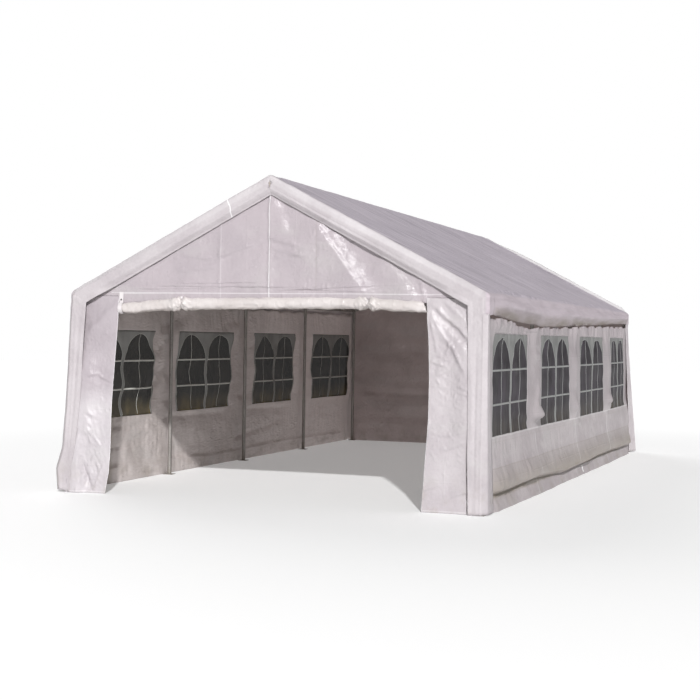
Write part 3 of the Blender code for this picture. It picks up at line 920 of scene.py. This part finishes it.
def hang_roll(x, length):
    """length runs from the middle of the roll to its outer end, which is sewn to the gable."""
    angle = np.interp(length, roll_lengths, roll_angles)
    outer = rise(angle / roll_angles[-1], 0.6, 1.0)
    facing = ROLL_END - (roll_angles[-1] - angle)
    front = np.cos(facing - np.pi)
    radius = (ROLL_CORE + roll_growth * angle) * np.interp(x, *ROLL_THICKNESS)
    dents = ripple(x / 0.10 + 1.3 * np.cos(facing), 1.3 * np.sin(facing) + x / 0.25, 42)
    slack = ripple(x / 0.35 + 0.8 * np.cos(facing), 0.8 * np.sin(facing), 43)
    swell = 1 + 0.20 * dents + 0.12 * slack
    for tape in ROLL_TAPES:
        off = x - tape
        near = hump(off, 0, 0.11)
        ears = hump(off, -0.062, 0.040) + 0.8 * hump(off, 0.052, 0.034)
        pleats = ripple(off / 0.030 + 2.5 * np.sin(facing), off / 0.05 + 2.5 * np.cos(facing), 44)
        pleats = np.abs(pleats)
        swell = swell + near * (0.90 * pleats - 0.14) + 0.42 * ears * np.clip(front + 0.3, 0, 1)
        swell = swell - 0.40 * hump(off, 0, 0.015)
    slanting = crumple((x - 0.9 * radius * facing) / 0.075, facing / 2.5, 45)
    at_ends = rise(-x, 1.15, 1.45) + 0.5 * rise(x, 1.30, 1.42) + 0.5 * hump(x, 0.07, 0.05)
    swell = swell + 0.34 * (0.35 + at_ends) * slanting * (0.30 + 0.70 * np.clip(-np.sin(facing), 0, 1))
    radius = radius * (1 + (swell - 1) * outer)
    middle = np.interp(x, *ROLL_LINE)
    y = ROLL_Y + 0.96 * radius * np.cos(facing)
    z = middle + radius * np.sin(facing)
    flap = np.clip((length - roll_lengths[-1]) / ROLL_FLAP, 0, 1)
    ragged = rise(np.abs(x), 1.40, 1.46) * 0.020 * (1 - outer + np.sin(facing) * outer)
    x = x - np.sign(x) * ragged
    return x, y + (-gable_y + 0.004 - y) * flap, z + (middle + 0.040 - z) * flap


roll_across = lines(
    (ROLL_LEFT, -1.12, 26), (-1.12, -1.02, 6), (-1.02, -0.74, 34), (-0.74, -0.02, 30), (-0.02, 0.16, 14),
    (0.16, 0.79, 26), (0.79, 1.07, 34), (1.07, 1.30, 10), (1.30, ROLL_RIGHT, 14))
roll_down = np.concatenate([roll_lengths, roll_lengths[-1] + ROLL_FLAP * np.linspace(0.25, 1, 4)])
roll_under = roll_lengths[-1] - ROLL_R * (ROLL_END + math.radians(80))


def door_underside_shade_paint(finish, weave, colour):
    """The underside of the roll is painted darker in patches, as painted shade."""
    off = finish.maths("ABSOLUTE", finish.part_of(weave, "Y") - roll_under, 0)
    darker_patches = (1 - finish.ramp(off, 0.015, 0.055)) * (0.20 + 0.5 * finish.clouds(weave, 9.0, 4.0))
    return finish.blend(darker_patches, colour, SHEET_DIRT_AND_SHADE)


door_finish = sheet_finish("door_sheet", door_underside_shade_paint, DOOR_WHITE, DOOR_SHADE)
door_roll = hang_sheet(
    "door_roll", cut_sheet(roll_across, roll_down), hang_roll, door_finish, ROLL_CLOTH_T)
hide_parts("rolled_door")

# Door tapes: two narrow tapes and one wide one with an eyelet. They are sewn to the gable's hem and
# go round the roll.
TAPE_W = 0.022
WIDE_TAPE_W = 0.042
WIDE_TAPE_X = -1.500
TAPE_T = 0.0016
TAPE_ABOVE_HEM = 0.006
EYELET_Z = 1.822
EYELET_R = 0.0055
TAPE_WHITE = (0.72, 0.68, 0.69, 1)
TAPE_SHADE = (0.64, 0.60, 0.61, 1)
EYELET_GREY = (0.16, 0.15, 0.14, 1)
EYELET_WORN = (0.07, 0.065, 0.06, 1)
tape_finish = sheet_finish("tape_sheet", None, TAPE_WHITE, TAPE_SHADE)


def hang_tape(middle, radius_share):
    """From the hem down the front of the gable, then round the front of the roll to its back."""
    roll_z = float(np.interp(middle, *ROLL_LINE))
    radius = ROLL_R * radius_share + 0.002
    turns = np.linspace(math.radians(110), math.radians(335), 24)
    y = np.concatenate([[-gable_y - 0.006, -gable_y - 0.012], ROLL_Y + radius * np.cos(turns)])
    z = np.concatenate(
        [[GABLE_HEM + TAPE_ABOVE_HEM, roll_z + radius + 0.006], roll_z + radius * np.sin(turns)])
    length = np.concatenate([[0], np.cumsum(np.hypot(np.diff(y), np.diff(z)))])

    def hang(across, down):
        return middle + across, np.interp(-down, length, y), np.interp(-down, length, z)
    return length[-1], hang


def eyelet_ring(name, place, facing, radius):
    """A rolled eyelet: a thin ring that clamps the cloth round the hole."""
    shape = bmesh.new()
    ring = bmesh.ops.create_circle(shape, segments=8, radius=radius * 0.32)["verts"]
    bmesh.ops.rotate(shape, verts=ring, cent=(0, 0, 0), matrix=Matrix.Rotation(UPRIGHT, 3, "X"))
    bmesh.ops.translate(shape, verts=ring, vec=(radius * 1.3, 0, 0))
    bmesh.ops.spin(
        shape, geom=shape.verts[:] + shape.edges[:], cent=(0, 0, 0), axis=(0, 0, 1),
        angle=2 * math.pi, steps=20, use_merge=True)
    turn = Vector(facing).to_track_quat("Z", "Y").to_matrix().to_4x4()
    bmesh.ops.transform(shape, matrix=Matrix.Translation(place) @ turn, verts=shape.verts[:])
    bmesh.ops.recalc_face_normals(shape, faces=shape.faces[:])
    mesh = bpy.data.meshes.new(name)
    shape.to_mesh(mesh)
    shape.free()
    mesh.shade_smooth()
    mesh.materials.append(eyelet_finish.material)
    made = bpy.data.objects.new(name, mesh)
    bpy.context.scene.collection.objects.link(made)
    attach(made, "root")
    return made


eyelet_finish = Finish("eyelet_metal", Metallic=0.9)
eyelet_wear = eyelet_finish.clouds(eyelet_finish.where(), 160.0, 3.0)
eyelet_finish.apply(
    Base_Color=eyelet_finish.blend(eyelet_wear, EYELET_GREY, EYELET_WORN),
    Roughness=0.35 + 0.3 * eyelet_wear, Normal=eyelet_finish.bump(eyelet_wear, 0.0003))


def add_tape(name, tape_flat, hang):
    """Hangs a tape of this width and length."""
    tape = hang_sheet(name, tape_flat, hang, tape_finish, TAPE_T)


for index, middle in enumerate(ROLL_TAPES, start=1):
    reach, hang = hang_tape(middle, 0.72)
    tape_flat = cut_sheet(lines((-TAPE_W / 2, TAPE_W / 2, 4)), lines((-reach, 0, 40)))
    add_tape(f"door_tape_{index}", tape_flat, hang)
reach, hang = hang_tape(WIDE_TAPE_X, 0.98)
eyelet_down = EYELET_Z - GABLE_HEM - TAPE_ABOVE_HEM
tape_flat = cut_sheet(lines((-WIDE_TAPE_W / 2, WIDE_TAPE_W / 2, 18)), lines((-reach, 0, 130)))
cut_out(tape_flat, lambda across, down: math.hypot(across, down - eyelet_down) < EYELET_R)
add_tape("door_tape_wide", tape_flat, hang)
eyelet_y = float(hang(np.array([0.0]), np.array([eyelet_down]))[1][0])
eyelet_ring("door_tape_eyelet", (WIDE_TAPE_X, eyelet_y, EYELET_Z), (0, -1, 0.15), EYELET_R)

# Side walls: one long sheet each, with a church window in every bay. The top hangs in scallops
# behind the valance. The foot hangs in a pouch over a crease, and its skirt lies outward.
WALL_X = 1.9945
WALL_END = 3.990
WINDOW_W = 1.40
WINDOW_LOW = 0.655
WINDOW_HIGH = 1.555
CREASE_LINE = ((-4.0, -3.0, -2.1, -0.75, 1.5, 4.0), (0.150, 0.147, 0.167, 0.105, 0.140, 0.110))
WELD_Z = 0.375
SCALLOP_PITCH = 0.497
SCALLOP_DEPTH = 0.024
PATCH_Y = 0.34
WALL_WHITE = (0.490, 0.445, 0.455, 1)
WALL_SHADE = (0.385, 0.340, 0.355, 1)
WALL_STAIN_AND_SHADE = (0.325, 0.285, 0.252, 1)
WALL_GREY = (0.270, 0.240, 0.255, 1)
bay_middles = [-frame_y + (index + 0.5) * bay for index in range(FRAME_COUNT - 1)]
frame_places = [-frame_y + index * bay for index in range(FRAME_COUNT)]
# Each side hangs in its own way. pouch and skirt are how far it stands out over the crease and below
# it, waves, small and gathers how high its broad, its fine and its top folds are, piers and pillows
# how far it bulges between the windows and at their lower corners. wander and pull are how far the
# windows move along the wall, billow and foot how far it stands out at the windows and at the ground,
# top how high it reaches, and rows the flat and the hung heights of some of its rows.
RIGHT_WALL = {
    "sign": 1, "seed": 220, "pouch": 0.066, "skirt": 0.050, "waves": 0.012, "small": 0.003,
    "gathers": 0.045, "piers": 0.030, "pillows": (0.085, 0.020, 0.045), "wander": 0.010,
    "billow": ((-4.0, -2.5, -1.7, -0.3, 0.6, 2.0, 2.9, 3.6, 4.0),
               (0.0, 0.0, 0.010, 0.035, 0.050, 0.060, 0.055, 0.035, 0.025)),
    "foot": ((-4.0, -3.0, -1.7, 0.0, 2.0, 4.0), (0.0, 0.020, 0.040, 0.060, 0.078, 0.082)),
    "pull": ((-4.0, 0.0, 0.3, 1.7, 2.3, 3.68, 3.95), (0.0, 0.0, 0.03, 0.12, 0.13, -0.08, 0.0)),
    "top": ((-4.0, -3.1, -2.4, -1.5, -0.5, 0.9, 4.0),
            (1.700, 1.675, 1.615, 1.635, 1.645, 1.675, 1.700)),
    "rows": ((HEM_Z, WINDOW_LOW, WINDOW_HIGH, 1.70), (HEM_Z, WINDOW_LOW, 1.557, 1.70)),
    "folds": (             # from, to, width, height, step
        ((-3.900, 1.655), (-2.900, 1.655), 0.090, 0.034, 0.000),
        ((-3.000, 0.860), (-1.950, 0.690), 0.018, 0.004, 0.006),
        ((-3.100, 1.550), (-2.700, 1.150), 0.050, 0.010, 0.000),
        ((-2.260, 1.420), (-1.660, 1.400), 0.022, -0.016, 0.000),
        ((-1.880, 1.560), (-2.020, 0.700), 0.060, 0.026, 0.000),
        ((-1.950, 1.100), (-2.080, 0.780), 0.022, 0.016, 0.000),
        ((-1.800, 1.380), (-1.940, 1.000), 0.018, -0.012, 0.000),
        ((-0.100, 0.640), (0.350, 0.580), 0.020, 0.016, 0.006),
        ((2.050, 0.660), (2.400, 0.640), 0.020, -0.014, 0.000),
        ((-1.400, 1.300), (-0.900, 0.700), 0.024, 0.010, 0.000),
    ),
}
LEFT_WALL = {
    "sign": -1, "seed": 120, "pouch": 0.012, "skirt": 0.004, "waves": 0.045, "small": 0.007,
    "gathers": 0.008, "piers": 0.008, "pillows": (0.020, 0.030, 0.015), "wander": 0.070,
    "billow": ((-4.0, -3.7, -3.0, 3.0, 3.7, 4.0), (0.0, 0.0, 0.025, 0.025, 0.015, 0.010)),
    "foot": ((-4.0, -3.6, -3.0, 3.0, 4.0), (0.0, 0.010, 0.030, 0.050, 0.060)),
    "pull": ((-4.0, -2.4, -1.7, -0.25, 0.35, 1.7, 2.3, 3.7, 3.95),
             (0.0, 0.0, -0.03, -0.02, 0.09, -0.03, 0.10, 0.15, 0.0)),
    "top": ((-4.0, 4.0), (1.83, 1.83)),
    "rows": ((HEM_Z, WINDOW_LOW, 1.528, WINDOW_HIGH, 1.83), (HEM_Z, 0.680, 1.510, 1.524, 1.83)),
    "folds": (             # from, to, width, height, step
        ((-3.600, 0.560), (-2.100, 0.500), 0.020, 0.014, 0.008),
        ((-3.500, 0.330), (-2.300, 0.360), 0.020, 0.012, 0.006),
        ((-2.100, 0.600), (-0.100, 0.585), 0.022, 0.018, -0.014),
        ((-2.300, 1.250), (-1.800, 1.560), 0.040, 0.024, 0.010),
        ((-2.450, 0.850), (-1.950, 1.200), 0.040, 0.022, 0.010),
        ((-2.200, 1.580), (-1.200, 1.760), 0.050, 0.030, 0.016),
        ((-0.600, 1.600), (0.100, 1.740), 0.050, 0.030, 0.016),
        ((0.000, 0.600), (1.900, 0.560), 0.022, 0.016, -0.012),
        ((-0.300, 0.250), (1.700, 0.420), 0.030, 0.016, 0.008),
    ),
}
SIDES = {"left": LEFT_WALL, "right": RIGHT_WALL}


def wall_lift(along, up, side):
    """How far a side wall stands out from its plane."""
    seed = side["seed"]
    free = 1 - rise(np.abs(along), 3.62, 3.84)
    above = up - np.interp(along, *CREASE_LINE)
    uneven = 1 + 0.6 * ripple(along / 0.9, up * 0, seed)
    pouch_width = np.where(above > 0.045, 0.17, 0.040)
    pouch = side["pouch"] * uneven * np.exp(-((above - 0.045) / pouch_width) ** 2)
    nip = -side["pouch"] / 3 * hump(above, 0, 0.012)
    skirt = np.clip(-above / 0.15, 0, 1) * side["skirt"]
    skirt = skirt * (1 + 0.5 * ripple(along / 0.6, up * 0, seed + 1))
    gathers = side["gathers"] * ripple(along / 0.075, up / 0.9, seed + 2) * rise(up, 1.42, 1.62)
    waves = 0.010 * ripple(along / 0.30, up / 0.75, seed + 3)
    waves = waves + side["waves"] * ripple(along / 0.62, up / 0.40, seed + 8)
    waves = waves * rise(up, 0.35, 0.70)
    upright = 0.007 * ripple(along / 0.065, up / 0.5, seed + 4) * (1 - rise(up, 0.60, 0.85))
    level = 0.005 * ripple(along / 0.8, up / 0.11, seed + 5)
    small = side["small"] * crumple(along / 0.24, up / 0.20, seed + 6)
    folds = folded(along, up, side["folds"])
    out = pouch + nip + skirt + gathers + waves + upright + level + small + folds
    for place, height in zip(frame_places[1:-1], side["pillows"]):
        upper = hump(up, 0.765, 0.095) * (up > 0.765) + hump(up, 0.765, 0.040) * (up <= 0.765)
        out = out + height * hump(along, place + 0.07, 0.13) * upper
        bulge = side["piers"] * (1 + 1.2 * ripple(up / 0.22, up * 0 + place, seed + 7))
        out = out + bulge * hump(along, place - 0.03, 0.12) * rise(up, 0.62, 0.80)
    for place in frame_places:
        near_post = 1 - rise(np.abs(along - place), 0.03, 0.14)
        out = np.where(out < 0, out * (1 - near_post), out)
    billow = np.interp(along, *side["billow"])
    foot = np.interp(along, *side["foot"])
    billow = billow * (1 - 0.5 * rise(up, 1.1, 1.6))
    return out * free + foot + (billow - foot) * rise(up, 0.45, 0.80) + 0.002 * (1 - free)


def hang_side(side, inset=0.0):
    """Hangs a sheet in a side wall. Flat places run along Y, backwards on the left, and up. The
    upper edge hangs in scallops."""
    sign = side["sign"]

    def hang(across, up):
        along = across * sign
        lift = wall_lift(along, up, side)
        inside = (1 - rise(np.abs(along), 3.70, 3.95)) * rise(up, 0.45, 0.75)
        wander = side["wander"] * (1 + 0.9 * rise(-along, 1.7, 2.4))
        pull = np.interp(along, *side["pull"])
        pull = pull + wander * ripple(up / 0.30, along / 1.1, side["seed"] + 9)
        scallops = np.abs(np.cos(np.pi * along / SCALLOP_PITCH))
        top = np.interp(along, *side["top"]) + SCALLOP_DEPTH * scallops - SCALLOP_DEPTH / 2
        z = np.interp(up, *side["rows"])
        flat_top = side["rows"][0][-1]
        z = z + (top - side["rows"][1][-1]) * rise(up, WINDOW_HIGH, flat_top)
        return sign * (WALL_X + lift - inset), along + inside * pull, z
    return hang


def in_window(across, up):
    """Whether a flat place lies in one of the window openings."""
    beside = min(abs(across - middle) for middle in bay_middles)
    return beside < WINDOW_W / 2 and WINDOW_LOW < up < WINDOW_HIGH


def wall_paint(finish, weave, colour):
    """Below the welded line the cloth is stained, and painted darker still toward the crease, as painted
    shade under the pouch. The crease is painted dark in patches, as dirt and painted shade, and the
    welded line and a level crease above it are dark lines of painted shade. The skirt is cleaner.
    Beside and over the windows it is darker and greyer."""
    up = finish.part_of(weave, "Y")
    beside_windows = finish.ramp(up, WINDOW_LOW - 0.02, WINDOW_LOW + 0.10)
    colour = finish.blend(0.45 * beside_windows, colour, WALL_GREY)
    # Real stain, and painted shade under the pouch, darkest toward the crease.
    stain_and_shade = (1 - finish.ramp(up, 0.13, 0.377)) * 0.70 + 0.25 * (1 - finish.ramp(up, 0.370, 0.380))
    colour = finish.blend(stain_and_shade * finish.ramp(up, 0.10, 0.13), colour, WALL_STAIN_AND_SHADE)
    # Dirt and painted shade in the crease.
    crease_dirt_and_shade = 1 - finish.ramp(finish.maths("ABSOLUTE", up - 0.145, 0), 0.01, 0.060)
    darkening = finish.ramp(finish.clouds(finish.stretched(weave, (1, 3, 1)), 5.0, 5.0), 0.35, 0.65)
    colour = finish.blend(0.65 * crease_dirt_and_shade * darkening, colour, SHEET_DIRT_AND_SHADE)
    posts = [("X", place, 0.016, 0.4, 0.0, 0.62) for place in frame_places[1:-1]]
    # The dark welded line and the dark line at 0.6 are painted shade.
    return seam_paint(
        *posts, ("Y", WELD_Z, 0.010, -0.30, -4.1, 4.1), ("Y", 0.600, 0.008, -0.15, -4.1, 4.1),
        ("Y", WINDOW_LOW - 0.008, 0.016, 0.25, -4.1, 4.1),
        ("X", PATCH_Y, 0.03, 0.9, 0.015, 0.110))(finish, weave, colour)


wall_stretches = []
wall_reached = -WALL_END
for middle in bay_middles:
    wall_stretches.append((wall_reached, middle - WINDOW_W / 2, 26))
    wall_stretches.append((middle - WINDOW_W / 2, middle + WINDOW_W / 2, 62))
    wall_reached = middle + WINDOW_W / 2
wall_stretches.append((wall_reached, WALL_END, 26))
for name, side in SIDES.items():
    flat_top = side["rows"][0][-1]
    flat = cut_sheet(
        lines(*wall_stretches),
        lines(
            (HEM_Z, 0.26, 30), (0.26, WINDOW_LOW, 20), (WINDOW_LOW, WINDOW_HIGH, 40),
            (WINDOW_HIGH, flat_top, 9)))
    cut_out(flat, in_window)
    wall = hang_sheet(
        f"wall_{name}", flat, hang_side(side),
        sheet_finish(
            f"wall_{name}_sheet", wall_paint, WALL_WHITE, WALL_SHADE, dull=0.30, lie=(0.5, 0.5, 0.4)),
        lining=lining_finish)
    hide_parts(f"side_wall_{name}")

# Windows: clear film, welded behind the openings and printed like church windows: two pointed
# arches each, in a milky surround, with pale glazing bars. Dust dims the film. Its panes are painted
# dark on both sides, as painted shade. Seen from inside, the milky surround and the bars are
# painted lighter, as painted light from the day behind them, and the foot of each pane is painted
# brown, as a painted view of the ground beyond.
ARCH_HALF = 0.335
ARCH_MIDDLE = 0.360
ARCH_RADIUS = 0.360
ARCH_SPRING = 1.200
ARCH_FLATTEN = 0.91
BAR_LEVELS = (0.930, 1.232)
BAR_W = 0.018
UPRIGHT_W = 0.008
OUTLINE_W = 0.005
PANE_FOOT = 0.655
FILM_OVERLAP = 0.015
FILM_T = 0.0006
FILM_INSET = 0.0020
BAR_T = 0.0044
# Seen from outside, the panes are painted dark: painted shade.
FILM_OUTSIDE_PAINTED_SHADE = {
    "pane": (0.026, 0.021, 0.027, 1), "smeared pane": (0.080, 0.070, 0.084, 1),
    "surround": (0.250, 0.252, 0.246, 1), "smeared surround": (0.185, 0.186, 0.182, 1),
    "foot of the pane": (0.090, 0.078, 0.062, 1)}
# Seen from inside, the panes are painted dark as painted shade, the surround lighter as painted light,
# and the foot brown as a painted view of the ground beyond.
FILM_INSIDE_PAINTED_LIGHT_AND_SHADE = {
    "pane": (0.015, 0.014, 0.011, 1), "smeared pane": (0.032, 0.029, 0.023, 1),
    "surround": (0.31, 0.31, 0.30, 1), "smeared surround": (0.23, 0.23, 0.22, 1),
    "foot of the pane": (0.170, 0.130, 0.058, 1)}
# The print seen from inside is painted lighter: painted light from behind it.
PRINT_OUTSIDE = ((0.36, 0.365, 0.36, 1), (0.24, 0.245, 0.24, 1))
PRINT_INSIDE_PAINTED_LIGHT = ((0.66, 0.66, 0.62, 1), (0.50, 0.50, 0.46, 1))


def film_finish(name, middle, tints):
    """Tinted film with a milky print outside the arches, from the flat places on the film."""
    finish = Finish(name, Specular_IOR_Level=0.25, IOR=1.3)
    weave = finish.node("ShaderNodeUVMap", "UV", {"uv_map": "weave"})
    beside = finish.maths("ABSOLUTE", finish.part_of(weave, "X") - middle, 0)
    from_arch = finish.maths("ABSOLUTE", beside - ARCH_MIDDLE, 0) + (ARCH_RADIUS - ARCH_HALF)
    above = finish.maths("MAXIMUM", finish.part_of(weave, "Y") - ARCH_SPRING, 0) * (1 / ARCH_FLATTEN)
    outside = finish.maths("SQRT", from_arch * from_arch + above * above, 0) - ARCH_RADIUS
    milky = finish.ramp(outside, -0.003, 0.003)
    place = finish.where()
    smears = finish.ramp(finish.clouds(finish.stretched(place, (1, 1, 0.5)), 5.0, 5.0), 0.40, 0.75)
    pane = finish.blend(smears, tints["pane"], tints["smeared pane"])
    low = 1 - finish.ramp(finish.part_of(weave, "Y"), WINDOW_LOW + 0.02, WINDOW_LOW + 0.22)
    pane = finish.blend(low * (0.3 + 0.7 * smears), pane, tints["foot of the pane"])
    surround = finish.blend(smears, tints["surround"], tints["smeared surround"])
    wrinkles = finish.clouds(finish.stretched(place, (1, 1, 0.7)), 7.0, 3.0)
    finish.apply(
        Base_Color=finish.blend(milky, pane, surround),
        Alpha=0.86 + 0.12 * milky,
        Roughness=0.42 + 0.14 * smears + 0.1 * milky,
        Normal=finish.bump(wrinkles, 0.006))
    return finish


def arch_line(share):
    """Over one pointed arch, from 0 at its left foot to 1 at its right foot: place and facing."""
    turn = np.arccos((ARCH_RADIUS - ARCH_HALF) / ARCH_RADIUS)
    half = turn * ARCH_RADIUS
    upright = ARCH_SPRING - PANE_FOOT
    gone = np.abs(share - 0.5) * 2
    left = np.where(share < 0.5, -1.0, 1.0)
    total = half + upright
    down = gone * total
    angle = np.clip((half - down) / ARCH_RADIUS, 0, turn)
    x = ARCH_RADIUS * np.cos(angle) - (ARCH_RADIUS - ARCH_HALF)
    z = ARCH_SPRING + ARCH_FLATTEN * ARCH_RADIUS * np.sin(angle) - np.maximum(down - half, 0)
    return left * x, z, left * np.cos(angle), np.sin(angle)


def add_bar(bars, low, high, columns, rows):
    """A straight bar as a flat strip of squares."""
    made = bmesh.ops.create_grid(bars, x_segments=columns, y_segments=rows, size=1.0)["verts"]
    for point in made:
        point.co.x = low[0] + (high[0] - low[0]) * (point.co.x + 1) / 2
        point.co.y = low[1] + (high[1] - low[1]) * (point.co.y + 1) / 2


def add_arch(bars, middle):
    """The printed outline of one arch, as a strip bent along it."""
    made = bmesh.ops.create_grid(bars, x_segments=72, y_segments=1, size=1.0)["verts"]
    for point in made:
        x, z, out_x, out_z = arch_line((point.co.x + 1) / 2)
        spread = OUTLINE_W / 2 * point.co.y
        point.co = (middle + x + out_x * spread, z + out_z * spread, 0)


def print_finish(name, clean, grimy):
    """The pale print of the bars, clean and grimy in patches."""
    finish = Finish(name, Specular_IOR_Level=0.3)
    darkening = finish.clouds(finish.where(), 11.0, 4.0)
    finish.apply(
        Base_Color=finish.blend(darkening, clean, grimy),
        Roughness=0.40 + 0.2 * darkening, Normal=finish.bump(darkening, 0.002))
    return finish


bar_finish = print_finish("window_print", *PRINT_OUTSIDE)
bar_inside_painted_light = print_finish("window_print_inside_painted_light", *PRINT_INSIDE_PAINTED_LIGHT)

for name, side in SIDES.items():
    for index, middle in enumerate(bay_middles, start=1):
        across = middle * side["sign"]
        half = WINDOW_W / 2
        flat = cut_sheet(
            lines((across - half - FILM_OVERLAP, across + half + FILM_OVERLAP, 57)),
            lines((WINDOW_LOW - FILM_OVERLAP, WINDOW_HIGH + FILM_OVERLAP, 37)))
        film = hang_sheet(
            f"film_{name}_{index}", flat, hang_side(side, FILM_INSET),
            film_finish(f"film_{name}_{index}_outside", across, FILM_OUTSIDE_PAINTED_SHADE), FILM_T,
            film_finish(f"film_{name}_{index}_inside", across, FILM_INSIDE_PAINTED_LIGHT_AND_SHADE))
        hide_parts(f"window_{name}_{index}")

        bars = bmesh.new()
        for arch in (-ARCH_MIDDLE, ARCH_MIDDLE):
            add_arch(bars, across + arch)
            top = ARCH_SPRING + ARCH_FLATTEN * math.sqrt(2 * ARCH_RADIUS * ARCH_HALF - ARCH_HALF ** 2)
            low = (across + arch - UPRIGHT_W / 2, PANE_FOOT)
            add_bar(bars, low, (across + arch + UPRIGHT_W / 2, top), 1, 40)
            for level in BAR_LEVELS:
                low = (across + arch - ARCH_HALF, level - BAR_W / 2)
                high = (across + arch + ARCH_HALF, level + BAR_W / 2)
                add_bar(bars, low, high, 24, 1)
        print_sheet = hang_sheet(
            f"bars_{name}_{index}", bars, hang_side(side, FILM_INSET - (BAR_T - FILM_T) / 2),
            bar_finish, BAR_T, bar_inside_painted_light)

# Back wall: one sheet from side to side and up to the rafters, hung inside the back frame. It is
# welded from upright strips, and hangs in shallow level folds.
BACK_HALF = 1.9895
BACK_SHOULDER = 1.873
BACK_LINING_WHITE = (0.60, 0.510, 0.500, 1)
BACK_LINING_SHADE = (0.47, 0.392, 0.383, 1)
BACK_WELDS = (-1.0, 0.0, 1.0)
BACK_FOLDS = (
    ((-1.400, 1.300), (0.900, 1.360), 0.030, 0.012, 0.006),
    ((0.200, 1.050), (1.990, 0.950), 0.030, 0.020, 0.012),
    ((-0.200, 0.640), (1.990, 0.560), 0.040, 0.026, -0.020),
    ((-0.600, 0.330), (1.300, 0.480), 0.050, 0.020, 0.014),
    ((0.900, 1.550), (1.990, 1.480), 0.030, 0.010, 0.005),
    ((-1.900, 0.720), (-0.300, 0.660), 0.030, 0.012, 0.005),
)


def back_lift(x, z):
    """How far the back wall stands off its plane. It is held at the rafters and at the legs."""
    under_rafter = gable_top_z - math.tan(SLOPE) * np.abs(x) - z
    free = rise(under_rafter, 0.04, 0.22)
    at_leg = rise(np.abs(np.abs(x) - leg_x), 0.02, 0.12)
    level = 0.020 * ripple(x / 1.1, z / 0.15, 51) + 0.010 * ripple(x / 0.5, z / 0.4, 52)
    small = 0.003 * crumple(x / 0.3, z / 0.3, 53)
    return free * at_leg * (level + small + folded(x, z, BACK_FOLDS))


back_paint = seam_paint(
    ("Y", BACK_SHOULDER, 0.012, 0.3, -2.0, 2.0),
    *[("X", place, 0.010, 0.3, 0.0, 3.0) for place in BACK_WELDS])
back_flat = cut_sheet(lines((-BACK_HALF, BACK_HALF, 150)), lines((HEM_Z, gable_top_z, 110)))
for side in (-1, 1):
    cut_along(back_flat, (0, gable_top_z), (side * math.sin(SLOPE), math.cos(SLOPE)))
back_sheet = hang_sheet(
    "wall_back", back_flat, lambda across, z: (-across, gable_y + back_lift(-across, z), z),
    sheet_finish("wall_back_sheet", back_paint),
    lining=sheet_finish("wall_back_lining", None, BACK_LINING_WHITE, BACK_LINING_SHADE))
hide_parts("back_wall")
